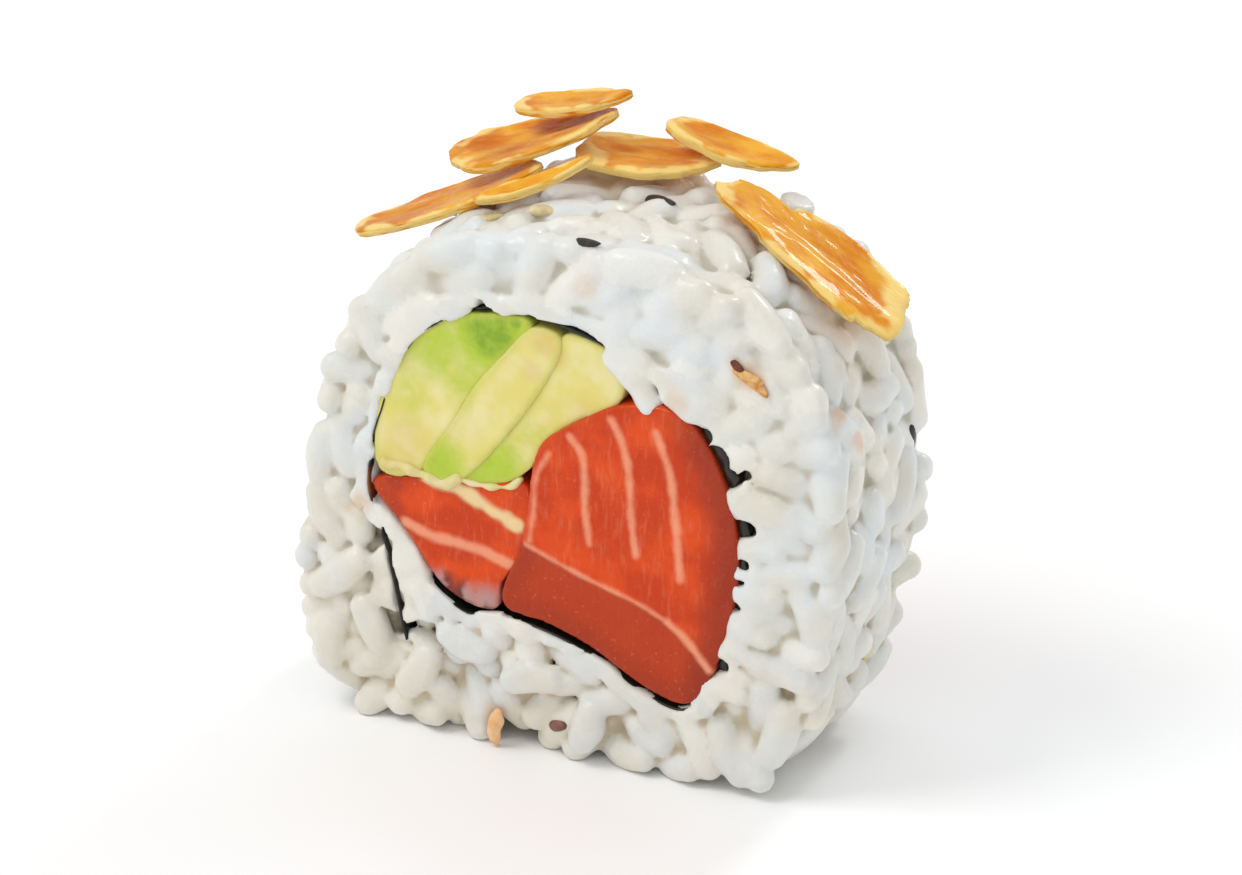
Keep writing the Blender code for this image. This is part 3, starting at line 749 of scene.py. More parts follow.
@dataclass(frozen=True)
class RipeAvocado:
    """Ripe avocado, sliced: soft buttery flesh, yellow inside and green towards the skin."""

    name: str = "ripe_avocado"
    flesh: str = "#e2d579"
    pale_flesh: str = "#e9dea0"
    green: str = "#b4ca3c"
    rind: str = "#6f9a22"
    skin: str = "#2f4a17"
    # Painted shade: a darker green laid along each slice's outline, where the slices press together
    crease_shade: str = "#c9c65c"
    bruise: str = "#d3a85c"

    def material(self) -> bpy.types.Material:
        """The avocado's material.

        Returns:
            The material.
        """
        g = Graph(self.name)
        mottled = g.pattern(1.1, 3.0, 0.6)
        green = g.uneven("green", mottled, 0.25, 0.75, -0.09, 0.09)
        body = g.paint(self.flesh, (
            (self.pale_flesh, g.pattern(3.0), 0.35, 0.7), (self.green, green, 0.0, 0.8),
            (self.rind, green, 0.7, 1.25), (self.skin, green, 1.15, 1.45),
            (self.crease_shade, "crease_shade"), (self.bruise, "bruise"),
        ))
        return g.close({
            "Base Color": body, "IOR": 1.4, "Specular IOR Level": 0.4, "Subsurface Weight": 0.15,
            "Subsurface Radius": (1.0, 0.9, 0.35), "Subsurface Scale": 0.001, "Coat Weight": 0.06,
            "Coat Roughness": 0.25,
        }, (mottled, 0.35, 0.55), ((g.pattern(0.3), 0.02), (mottled, 0.05)))


@dataclass(frozen=True)
class FriedAlmond:
    """Sliced almond, fried golden and glazed: amber in the middle, cream at the cut rim, with an oily gloss."""

    name: str = "fried_almond"
    glaze: float = 0.08
    amber: str = "#da7c0c"
    toast: str = "#bb5c06"
    gold: str = "#edad34"
    rim: str = "#f5d987"

    def material(self) -> bpy.types.Material:
        """The almond's material, whose patterns lie along the flake.

        Returns:
            The material.
        """
        g = Graph(self.name)
        kept = {axis: g.add("Attribute", output="Fac", attribute_name=name)
                for axis, name in zip("XYZ", ("along", "across", "layer"))}
        own = g.add("CombineXYZ", kept)
        veins = g.pattern(0.9, 2.0, 0.5, (3.0, 1.0, 2.0), own)
        wrinkles = g.pattern(0.5, 2.0, 0.5, (2.0, 1.0, 1.0), own)
        broken = g.pattern(3.4, where=own)
        body = g.paint(self.amber, (
            (self.gold, g.pattern(2.4, 3.0, 0.55, (1.8, 1.0, 1.0), own), 0.32, 0.62), (self.toast, "toast"),
            (self.gold, veins, 0.5, 0.75, 0.0, 0.35),
            (self.rim, g.uneven("rim", broken, 0.35, 0.65, -0.3, 0.12), 0.8, 1.0, 0.0, 0.85),
        ))
        return g.close({
            "Base Color": body, "IOR": 1.46, "Specular IOR Level": 0.08, "Subsurface Weight": 0.15,
            "Subsurface Radius": (1.0, 0.6, 0.15), "Subsurface Scale": 0.0006, "Coat Weight": self.glaze,
            "Coat Roughness": 0.06, "Coat IOR": 1.4,
        }, (wrinkles, 0.25, 0.45), ((wrinkles, 0.11), (veins, 0.07)))


@dataclass(frozen=True)
class SeedCoat:
    """A sesame seed's dry coat, finely pitted, with a low sheen."""

    name: str
    coat: str
    worn: str
    roughness: float

    def material(self) -> bpy.types.Material:
        """The seed's material.

        Returns:
            The material.
        """
        g = Graph(self.name)
        body = g.paint(self.coat, ((self.worn, g.pattern(1.0), 0.4, 0.7),))
        return g.close({"Base Color": body, "Roughness": self.roughness, "IOR": 1.45},
                       reliefs=((g.pattern(0.35), 0.05),))


@dataclass(frozen=True)
class PaintedTable:
    """A smooth white tabletop with a soft satin coat of paint."""

    paint: str = "#ffffff"
    worn_paint: str = "#fdfdfc"

    def material(self) -> bpy.types.Material:
        """The table's material.

        Returns:
            The material.
        """
        g = Graph("white_painted_table")
        body = g.paint(self.paint, ((self.worn_paint, g.pattern(40.0, 1.0), 0.4, 0.6),))
        return g.close({"Base Color": body, "Roughness": 0.6, "IOR": 1.45, "Specular IOR Level": 0.2})


# The rice


def nori_line(steps: int, leaning: bool) -> tuple[np.ndarray, np.ndarray]:
    """The line of the nori on the cut face.

    Args:
        steps: How many pieces each span is divided into.
        leaning: Whether it is the front edge, which leans inwards, or the sheet behind it.

    Returns:
        The points of the line and the direction inwards at each.
    """
    line = smooth_curve(NORI_ROUTE, steps, False)
    left = side_directions(line)
    if leaning:
        lean = np.interp(np.arange(len(line)) / steps, np.arange(len(NORI_LEAN)), NORI_LEAN)
        line = line + left * lean[:, None]
    return line, left


def hollow_outline(outer: float, inner: float, leaning: bool = False) -> np.ndarray:
    """The outline of the hollow in the rice that takes the nori and what it holds.

    Args:
        outer: How far the hollow reaches to the outside of the nori's line.
        inner: How far the slot for the free end of the nori reaches to the inside of it.
        leaning: Whether it is the outline at the front edge of the nori.

    Returns:
        The corners of the outline.
    """
    steps = 3
    line, _ = nori_line(steps, leaning)
    tip = line[-1] + (line[-1] - line[-2]) / np.linalg.norm(line[-1] - line[-2]) * 0.22
    root = line[0] + (line[0] - line[1]) / np.linalg.norm(line[0] - line[1]) * 0.22
    line = np.vstack([root, line, tip])
    left = side_directions(line)
    flap = int(steps * (len(NORI_ROUTE) - 1 - FLAP_SPANS))
    outside = line - left * outer
    inside = (line + left * inner)[::-1]
    wedge = smooth_curve(WEDGE_EDGE, 2, False)
    return np.vstack([outside, inside[:len(line) - flap], wedge, inside[-1:]])


def room_outline() -> np.ndarray:
    """The outline of the room inside the front edge of the nori, as the smeared rice leaves it open.

    Returns:
        The corners of the outline.
    """
    steps = 3
    line, left = nori_line(steps, True)
    flap = int(steps * (len(NORI_ROUTE) - 1 - FLAP_SPANS))
    sheet = (line + left * 0.5)[:flap + 1]
    return np.vstack([sheet, smooth_curve(WEDGE_EDGE, 2, False)])


@dataclass
class RicePacking:
    """Grains of rice pressed into a skin round the slice and over both cut faces."""

    seed: int = 11
    skin_grains: int = 150
    face_grains: int = 84
    length: float = 6.6
    width: float = 2.9
    contact: float = 2.45
    wall: float = 1.25
    face_depth: float = 1.2
    layer: float = 0.5
    unevenness: float = 0.45
    steps: int = 90
    floor: float = 1.15
    field_step: float = 0.4
    field_low: tuple[float, float] = (-29.0, -4.0)
    field_high: tuple[float, float] = (29.0, 50.0)

    def __post_init__(self) -> None:
        """Measures the room for rice on the cut face."""
        xs = np.arange(self.field_low[0], self.field_high[0], self.field_step)
        zs = np.arange(self.field_low[1], self.field_high[1], self.field_step)
        spots = np.stack(np.meshgrid(xs, zs, indexing="ij"), axis=-1).reshape(-1, 2)
        shape = (len(xs), len(zs))
        edge = -signed_distance(spots, smooth_curve(RICE_OUTLINE, 5, True))
        hollow = signed_distance(spots, hollow_outline(NORI_THICKNESS / 2, NORI_THICKNESS / 2))
        self.fields = (edge.reshape(shape), hollow.reshape(shape))

    def look_up(self, which: int, points: np.ndarray) -> tuple[np.ndarray, np.ndarray]:
        """How far points lie inside a wall of the room, and the way inwards.

        Args:
            which: 0 for the outer edge and 1 for the hollow.
            points: Places on the cut face.

        Returns:
            The distances and the directions.
        """
        values = self.fields[which]
        place = np.clip((points - self.field_low) / self.field_step, 0, np.array(values.shape) - 1.001)
        low = place.astype(int)
        u, v = (place - low).T
        i, j = low.T
        a, b, c, d = values[i, j], values[i + 1, j], values[i, j + 1], values[i + 1, j + 1]
        value = a * (1 - u) * (1 - v) + b * u * (1 - v) + c * (1 - u) * v + d * u * v
        slope = np.stack([(b - a) * (1 - v) + (d - c) * v, (c - a) * (1 - u) + (d - b) * u], axis=1)
        return value, slope / np.maximum(np.linalg.norm(slope, axis=1, keepdims=True), 1e-6)

    def keep_in(self, points: np.ndarray, walls: tuple[np.ndarray, np.ndarray]) -> None:
        """Moves points back into the room.

        Args:
            points: The points, changed in place.
            walls: How far each point stays from the outer edge and from the hollow.
        """
        for which, wall in enumerate(walls):
            value, slope = self.look_up(which, points[:, [0, 2]])
            points[:, [0, 2]] += slope * np.maximum(wall - value, 0.0)[:, None]
        limit = FACE - self.face_depth
        points[:, 1] = np.clip(points[:, 1], -limit, limit)
        points[:, 2] = np.maximum(points[:, 2], self.floor)

    def push_apart(self, ends: np.ndarray, pairs: tuple[np.ndarray, np.ndarray]) -> None:
        """Moves grains that overlap away from each other.

        Args:
            ends: The middles of both round ends of each grain, changed in place.
            pairs: The numbers of grains that are near each other.
        """
        first, second = pairs
        p, q = ends[first, 0], ends[second, 0]
        along_p, along_q = ends[first, 1] - p, ends[second, 1] - q
        between = p - q
        pp, qq, pq = ((m * n).sum(1) for m, n in ((along_p, along_p), (along_q, along_q), (along_p, along_q)))
        p_between, q_between = (along_p * between).sum(1), (along_q * between).sum(1)
        s = np.clip((pq * q_between - p_between * qq) / np.maximum(pp * qq - pq ** 2, 1e-6), 0, 1)
        t = np.clip((pq * s + q_between) / qq, 0, 1)
        s = np.clip((pq * t - p_between) / pp, 0, 1)
        gap = between + s[:, None] * along_p - t[:, None] * along_q
        distance = np.maximum(np.linalg.norm(gap, axis=1), 1e-6)
        push = gap / distance[:, None] * (np.maximum(self.contact - distance, 0) / 2)[:, None]
        moved = np.zeros_like(ends)
        touched = np.zeros(ends.shape[:2])
        for grains, share, sign in ((first, s, 1.0), (second, t, -1.0)):
            for end, weight in ((0, 1 - share), (1, share)):
                np.add.at(moved[:, end], grains, sign * push * weight[:, None])
                np.add.at(touched[:, end], grains, weight * (distance < self.contact))
        ends += 1.5 * moved / np.maximum(touched, 1.0)[..., None]

    def first_places(self, rng: np.random.Generator, homes: np.ndarray) -> np.ndarray:
        """A first random place for each grain.

        Args:
            rng: The source of the draws.
            homes: The layer of each grain.

        Returns:
            The grains' middles.
        """
        reach = FACE - self.face_depth
        middles = []
        for home in homes:
            while True:
                spot = rng.uniform((-26, -reach, 1), (26, reach, 46))
                edge, hollow = (self.look_up(which, spot[None, [0, 2]])[0][0] for which in (0, 1))
                if home != Home.SKIN.value and min(edge, hollow) > 1.0:
                    break
                if home == Home.SKIN.value and 0.5 < edge < 2.5 and spot[2] > 3.0:
                    break
            if home != Home.SKIN.value:
                spot[1] = reach if home == Home.BACK.value else -reach
            middles.append(spot)
        return np.array(middles)

    def grains(self) -> tuple[np.ndarray, np.ndarray]:
        """Packs the grains.

        Returns:
            The middles of both round ends of each grain, and their sizes.
        """
        rng = np.random.default_rng(self.seed)
        counts = (self.skin_grains, self.face_grains, self.face_grains)
        homes = np.repeat([Home.SKIN.value, Home.FRONT.value, Home.BACK.value], counts)
        middles = self.first_places(rng, homes)
        directions = rng.normal(size=(len(homes), 3))
        directions[homes != Home.SKIN.value, 1] *= 0.35
        directions /= np.linalg.norm(directions, axis=1, keepdims=True)
        sizes = rng.uniform(0.86, 1.12, len(homes))
        half = (sizes * (self.length - self.width) / 2)[:, None]
        ends = np.stack([middles - directions * half, middles + directions * half], axis=1)
        edge_wall = self.wall + rng.uniform(-self.unevenness, self.unevenness, len(homes))
        walls = (edge_wall, np.full(len(homes), self.wall))
        for step in range(self.steps):
            if step % 8 == 0:
                apart = np.linalg.norm(middles[:, None] - middles[None], axis=2)
                pairs = np.nonzero(np.triu(apart < self.length + 0.5, k=1))
            self.push_apart(ends, pairs)
            for end in (0, 1):
                column = ends[:, end].copy()
                self.keep_in(column, walls)
                ends[:, end] = column
            middles = ends.mean(axis=1)
            directions = ends[:, 1] - ends[:, 0]
            directions /= np.maximum(np.linalg.norm(directions, axis=1, keepdims=True), 1e-6)
            self.keep_in(middles, walls)
            self.keep_home(middles, homes, edge_wall)
            ends[:, 0] = middles - directions * half
            ends[:, 1] = middles + directions * half
        return ends, sizes

    def keep_home(self, middles: np.ndarray, homes: np.ndarray, edge_wall: np.ndarray) -> None:
        """Moves each grain out to the layer that it belongs to.

        Args:
            middles: The grains' middles, changed in place.
            homes: The layer of each grain.
            edge_wall: How far each grain stays from the outer edge.
        """
        limit = FACE - self.face_depth
        for home, side in ((Home.FRONT.value, -1.0), (Home.BACK.value, 1.0)):
            own = homes == home
            inwards = np.clip(limit - side * middles[own, 1], 0.0, self.layer)
            middles[own, 1] = side * (limit - inwards)
        value, slope = self.look_up(0, middles[:, [0, 2]])
        deep = np.maximum(value - edge_wall - self.layer, 0.0) * (homes == Home.SKIN.value)
        middles[:, [0, 2]] -= slope * deep[:, None]

    def grains_below(self, count: int, rng: np.random.Generator) -> np.ndarray:
        """Random grains of the layer below, seen between those that show.

        Args:
            count: How many there are.
            rng: The source of the draws.

        Returns:
            The middles of both round ends of each grain.
        """
        spots = rng.uniform((-24, -8, 2.2), (24, 8, 44), (count * 5, 3))
        edge, _ = self.look_up(0, spots[:, [0, 2]])
        hollow, _ = self.look_up(1, spots[:, [0, 2]])
        deep = np.minimum(edge, FACE - np.abs(spots[:, 1]))
        spots = spots[(deep > 2.3) & (deep < 3.6) & (hollow > 1.3) & (edge > 1.5)][:count]
        directions = rng.normal(size=spots.shape)
        directions /= np.linalg.norm(directions, axis=1, keepdims=True)
        half = 0.5 * (self.length - self.width)
        return np.stack([spots - directions * half, spots + directions * half], axis=1)


@dataclass
class RiceBody:
    """The rice of the slice: single grains below and at the left, pressed flush above and at the right."""

    step: float = 0.29
    most_faces: int = 196000
    low: tuple[float, float, float] = (-26.6, -10.9, -0.7)
    high: tuple[float, float, float] = (25.6, 11.1, 46.6)
    middle: tuple[float, float] = (-1.0, 23.0)
    crisp_blend: float = 0.075
    pressed_blend: float = 0.33
    crisp_core: float = 2.6
    pressed_core: float = 0.95
    flatness: float = 0.86
    below: int = 420
    below_seed: int = 4
    rounding: float = 0.25
    opening_rounding: float = 0.12
    tooth_blend: float = 0.8
    waviness: float = 0.09
    loose_proud: float = 0.72
    pressed_in: float = 0.68
    back_proud: float = 0.5
    edge_proud: float = 0.75
    edge_pressed_in: float = 0.55
    smear_depth: float = 0.8
    smear_width: float = 1.7
    wedge: tuple[float, float, float] = (-14.6, 13.2, 3.5)
    packing: RicePacking = field(default_factory=RicePacking)
    finish: SteamedRice = SteamedRice()
    # How far the rice is pressed flush, by the direction on the cut face in degrees
    directions: tuple[float, ...] = (-180, -150, -120, -90, -65, -40, 0, 45, 90, 130, 155, 180)
    pressing: tuple[float, ...] = (0.42, 0.12, 0.05, 0.03, 0.22, 0.55, 0.8, 0.9, 1.0, 0.9, 0.65, 0.42)
    # Single grains that stand out in the photograph: middle, direction and length
    placed: tuple = (
        ((5.2, -9.2, 34.6), (0.1, 0.1, -1.0), 5.2), ((17.2, -9.0, 25.2), (1.0, 0.0, 0.12), 5.6),
        ((11.8, 8.2, 44.0), (0.1, 0.1, 1.0), 5.4), ((-20.4, -9.2, 12.6), (0.75, 0.0, 0.65), 7.2),
        ((-21.6, -9.0, 6.6), (0.15, 0.1, 1.0), 6.6), ((-13.4, -9.2, 5.2), (0.5, 0.0, 0.85), 6.4),
        ((-17.6, -9.2, 8.6), (0.35, 0.1, -0.9), 6.2), ((-9.2, -9.2, 8.6), (1.0, 0.0, -0.3), 6.0),
        ((-3.4, -9.3, 7.0), (1.0, 0.0, 0.25), 6.2), ((1.6, -9.2, 3.4), (0.3, 0.0, 1.0), 5.6),
    )

    # Where crumbs and oil have stained the rice: a middle, a reach and a strength
    stained: tuple = (
        (22.6, -6.2, 34.0, 1.7, 0.55), (23.0, -5.0, 31.0, 1.3, 0.5), (21.6, -3.0, 36.6, 1.5, 0.35),
        (-19.0, -6.0, 37.6, 1.8, 0.25), (15.2, -9.5, 37.0, 1.8, 0.45), (1.2, -9.6, 42.0, 1.6, 0.22),
        (9.6, -9.6, 33.6, 1.5, 0.3), (-18.6, -9.4, 18.8, 1.4, 0.45), (-6.4, -9.6, 2.2, 1.6, 0.3),
    )

    # Grains that reach over the edge of the hollow: both ends on the cut face and the width
    teeth: tuple = (
        ((5.4, 35.6), (6.8, 32.7), 2.2), ((14.9, 26.1), (17.2, 25.6), 2.5), ((15.6, 22.4), (17.6, 22.2), 1.6),
        ((3.8, 36.0), (5.2, 34.9), 2.0), ((8.8, 33.8), (10.2, 32.8), 1.6), ((15.2, 18.1), (17.4, 18.6), 1.5),
        ((14.9, 15.3), (16.8, 14.6), 1.7),
        ((14.3, 13.2), (16.4, 12.4), 1.5), ((-12.4, 10.6), (-13.4, 12.6), 1.5), ((13.2, 9.6), (14.6, 9.0), 1.5),
    )

    def pressed(self, points: np.ndarray) -> np.ndarray:
        """How far the rice is pressed flush at each place, from 0 for loose grains to 1.

        Args:
            points: Places in space in millimetres, one in each row.

        Returns:
            The shares.
        """
        angle = np.degrees(np.arctan2(points[:, 2] - self.middle[1], points[:, 0] - self.middle[0]))
        share = np.interp(angle, self.directions, self.pressing)
        front = 1.0 - smoothstep(-FACE + 1.0, -FACE + 6.0, points[:, 1])
        share = front * share + (1.0 - front) * (0.25 + 0.35 * share)
        return np.clip(share + 0.16 * Lumps(5.0, 21).at(points), 0.0, 1.0)

    def grain_field(self, grid: DistanceGrid, ends: np.ndarray, width: float, blend: np.ndarray,
                    total: np.ndarray, best: np.ndarray, owner: np.ndarray, number: int, bend: float) -> None:
        """Adds one grain to the field.

        Args:
            grid: The block of space.
            ends: The middles of the grain's round ends.
            width: The grain's width.
            blend: How far grains melt into each other, at each corner of the grid.
            total: The sum that the field is made from, changed in place.
            best: The least distance so far, changed in place.
            owner: The number of the nearest grain so far, changed in place.
            number: The grain's number.
            bend: How far the grain is bent.
        """
        reach = width / 2 + 1.7
        part = grid.near(ends.min(axis=0) - reach, ends.max(axis=0) + reach)
        if min(s.stop - s.start for s in part) <= 0:
            return
        middle = ends.mean(axis=0)
        along = ends[1] - ends[0]
        half = np.linalg.norm(along) / 2
        along = along / (2 * half)
        outwards = np.array([middle[0] + 1.0, 0.0, middle[2] - 23.0])
        if abs(middle[1]) > FACE - 2.2:
            outwards = np.array([0.0, np.sign(middle[1]), 0.0])
        side = np.cross(along, outwards)
        side /= max(np.linalg.norm(side), 1e-6)
        flat = np.cross(along, side)
        x, y, z = (axis[s] - m for axis, s, m in zip(grid.axes, part, middle))
        x, y, z = x[:, None, None], y[None, :, None], z[None, None, :]
        u = x * along[0] + y * along[1] + z * along[2]
        v = x * side[0] + y * side[1] + z * side[2]
        w = (x * flat[0] + y * flat[1] + z * flat[2]) / self.flatness
        t = np.clip(u, -half, half)
        v = v - bend * (t / half) ** 2
        distance = np.sqrt((u - t) ** 2 + v * v + w * w) - width / 2 * (1.0 - 0.16 * (t / half) ** 2)
        total[part] += np.exp(np.clip(-distance / blend[part], -40.0, 40.0))
        nearer = distance < best[part]
        best[part] = np.where(nearer, distance, best[part])
        owner[part] = np.where(nearer, number, owner[part])

    def grains(self) -> list[tuple[np.ndarray, float]]:
        """All grains, each as the middles of its round ends and its width.

        Returns:
            The grains.
        """
        ends, sizes = self.packing.grains()
        width = self.packing.width
        listed = [(own, width * (0.94 + 0.08 * size)) for own, size in zip(ends, sizes)]
        for middle, direction, length in self.placed:
            way = np.array(direction) / np.linalg.norm(direction)
            half = (length - width) / 2
            listed.append((np.array([middle - way * half, middle + way * half]), width))
        rng = np.random.default_rng(self.below_seed)
        listed += [(own, width * 0.95) for own in self.packing.grains_below(self.below, rng)]
        return listed

    def opening(self, grid: DistanceGrid) -> np.ndarray:
        """How far each place is from the hollow for the nori and the filling, positive in the rice.

        Args:
            grid: The block of space.

        Returns:
            The distances, negative in the hollow.
        """
        spots = grid.face_points()
        front_hollow = signed_distance(spots, hollow_outline(-0.15, 0.5, True))
        room = signed_distance(spots, room_outline())
        pockets = grid.on_face(distance_to_discs(spots, NORI_POCKETS))
        smeared = grid.on_face(np.maximum(np.minimum(room, distance_to_bare_nori(spots)), front_hollow))
        hollow = grid.on_face(signed_distance(spots, hollow_outline(0.0, 0.36)))
        deep = smoothstep(-FACE + self.smear_depth, -FACE + self.smear_depth + 0.4, grid.y)
        pocket_end = smoothstep(-FACE + 2.0, -FACE + 3.0, grid.y)
        ragged = Lumps(1.5, 8).at(grid.points()).reshape(grid.shape)
        opening = (smeared + 0.16 * ragged) * (1.0 - deep) + hollow * deep
        for half, line in SLITS:
            slit = distance_to_curve(spots, smooth_curve(line, 5, False), False) - half
            opening = np.minimum(opening, grid.on_face(slit) + 4.0 * deep + 0.06 * ragged)
        return np.minimum(opening, pockets + 4.0 * pocket_end + 0.2 * ragged)

    def smear(self, grid: DistanceGrid) -> np.ndarray:
        """How far each place is from the rice that the knife smeared round the hollow.

        Args:
            grid: The block of space.

        Returns:
            The distances.
        """
        spots = grid.face_points()
        half = self.smear_width / 2
        ring = np.abs(signed_distance(spots, room_outline()) - half) - half
        covered = grid.on_face(np.minimum(ring, distance_to_discs(spots, (self.wedge,))))
        lumps = Lumps(1.7, 19).at(grid.points()).reshape(grid.shape)
        return smooth_max(covered + 0.35 * lumps, np.abs(grid.y + 8.2) - 1.26 + 0.18 * lumps, 0.2)

    def tooth(self, grid: DistanceGrid, start: tuple, end: tuple, width: float) -> np.ndarray:
        """How far each place is from a grain that reaches over the edge of the hollow.

        Args:
            grid: The block of space.
            start: One end on the cut face.
            end: The other end.
            width: The grain's width.

        Returns:
            The signed distances.
        """
        spots = grid.face_points()
        away = grid.on_face(distance_to_curve(spots, np.array([start, end]), False))
        return np.sqrt(away ** 2 + (grid.y + FACE - width / 2 + 0.3) ** 2) - width / 2

    def surface(self) -> tuple[np.ndarray, np.ndarray, dict[str, np.ndarray]]:
        """The skin of the rice.

        Returns:
            Its points, its faces and the numbers that its material reads.
        """
        grid = DistanceGrid(self.low, self.high, self.step)
        spots = grid.face_points()
        edge = grid.on_face(-signed_distance(spots, smooth_curve(RICE_OUTLINE, 5, True)))
        hollow = grid.on_face(signed_distance(spots, hollow_outline(0.0, 0.36)))
        pressed = self.pressed(grid.points()).reshape(grid.shape)
        blend = self.crisp_blend + (self.pressed_blend - self.crisp_blend) * pressed
        depth = self.crisp_core + (self.pressed_core - self.crisp_core) * pressed
        core = np.maximum(np.maximum(depth - edge, np.abs(grid.y) - (FACE - depth)), -hollow)
        total = np.exp(np.clip(-core / blend, -40.0, 40.0))
        best = core.copy()
        owner = np.zeros(grid.shape, dtype=int)
        rng = np.random.default_rng(77)
        for number, (ends, width) in enumerate(self.grains()):
            bend = rng.uniform(-0.35, 0.35)
            self.grain_field(grid, ends, width, blend, total, best, owner, number + 1, bend)
        total += np.exp(np.clip(-self.smear(grid) / blend, -40.0, 40.0))
        values = -blend * np.log(total)
        waves = Lumps(2.6, 5).at(grid.points()).reshape(grid.shape)
        proud = self.loose_proud - self.pressed_in * pressed + self.waviness * waves
        values = smooth_max(values, -(grid.y + FACE + proud), self.rounding)
        values = smooth_max(values, grid.y - FACE - self.back_proud + self.waviness * waves, self.rounding)
        values = smooth_max(values, -(edge + self.edge_proud - self.edge_pressed_in * pressed), self.rounding)
        values = smooth_max(values, -self.opening(grid), self.opening_rounding)
        for start, end, width in self.teeth:
            values = -smooth_max(-values, -self.tooth(grid, start, end, width), self.tooth_blend)
        values = np.maximum(values, -grid.z)
        points, faces = grid.skin(values)
        points = relaxed(points, faces, 1, 0.4)
        points[:, 2] = np.maximum(points[:, 2], 0.0)
        # sunk: how far each point lies in a hollow below the smoothed skin, read for the painted shade
        evened = relaxed(points, faces, 14, 0.7)
        sunk = ((evened - points) * normals_of(points, faces)).sum(axis=1)
        cells = np.clip(((points - grid.low) / grid.step).round().astype(int), 0, np.array(grid.shape) - 1)
        owners = owner[tuple(cells.T)]
        tones = np.random.default_rng(3).uniform(0, 1, 2000)
        way_in = np.minimum(self.packing.look_up(0, points[:, [0, 2]])[0], FACE - np.abs(points[:, 1]))
        # Painted shade: gap darkens crevices between grains and places deep inside the rice
        gap = np.clip(0.5 * smoothstep(0.9, 2.2, way_in) + 0.9 * smoothstep(0.01, 0.22, sunk), 0.0, 1.0)
        # Painted shade: the rice turns beige and darker towards the bottom and at the left side, more so in
        # crevices; the wet patches add a faint random tint
        wet = Lumps(5.0, 14).at(points)
        low = 1.0 - smoothstep(2.0, 22.0, points[:, 2] + 2.5 * wet)
        side = smoothstep(-17.0, -22.0, points[:, 0]) * smoothstep(-4.0, -8.0, points[:, 1])
        warm_shade_and_tint = np.maximum(low, 0.6 * side) * (0.18 + 0.6 * gap) + 0.15 * smoothstep(0.2, 0.9, wet)
        warm_shade_and_tint = np.clip(warm_shade_and_tint, 0.0, 0.75)
        return points, faces, {"tone": tones[owners % 2000], "gap": gap, "warm_shade_and_tint": warm_shade_and_tint,
                               "stain": self.stains(points)}

    def stains(self, points: np.ndarray) -> np.ndarray:
        """Where toasted crumbs and oil have stained the rice, from 0 to 1.

        Args:
            points: Places in space in millimetres, one in each row.

        Returns:
            The shares.
        """
        share = np.zeros(len(points))
        for x, y, z, reach, strength in self.stained:
            away = np.linalg.norm(points - np.array((x, y, z)), axis=1)
            away = away + 0.5 * Lumps(1.2, 9).at(points)
            share = np.maximum(share, strength * (1.0 - smoothstep(0.3 * reach, reach, away)))
        return share

    def build(self) -> bpy.types.Object:
        """Makes the rice.

        Returns:
            The piece.
        """
        points, faces, attributes = self.surface()
        piece = make_piece("rice_grains", points, faces, self.finish.material(), attributes)
        self.thin_out(piece)
        settle(piece, "rice")
        return piece

    def thin_out(self, piece: bpy.types.Object) -> None:
        """Takes out faces where the rice is nearly flat, and keeps the grains' edges.

        Args:
            piece: The rice.
        """
        piece.modifiers.new("fewer_faces", "DECIMATE").ratio = self.most_faces / (2 * len(piece.data.polygons))
        thinned = bpy.data.meshes.new_from_object(piece.evaluated_get(bpy.context.evaluated_depsgraph_get()))
        piece.modifiers.clear()
        piece.data = thinned
        thinned.shade_smooth()


# The nori


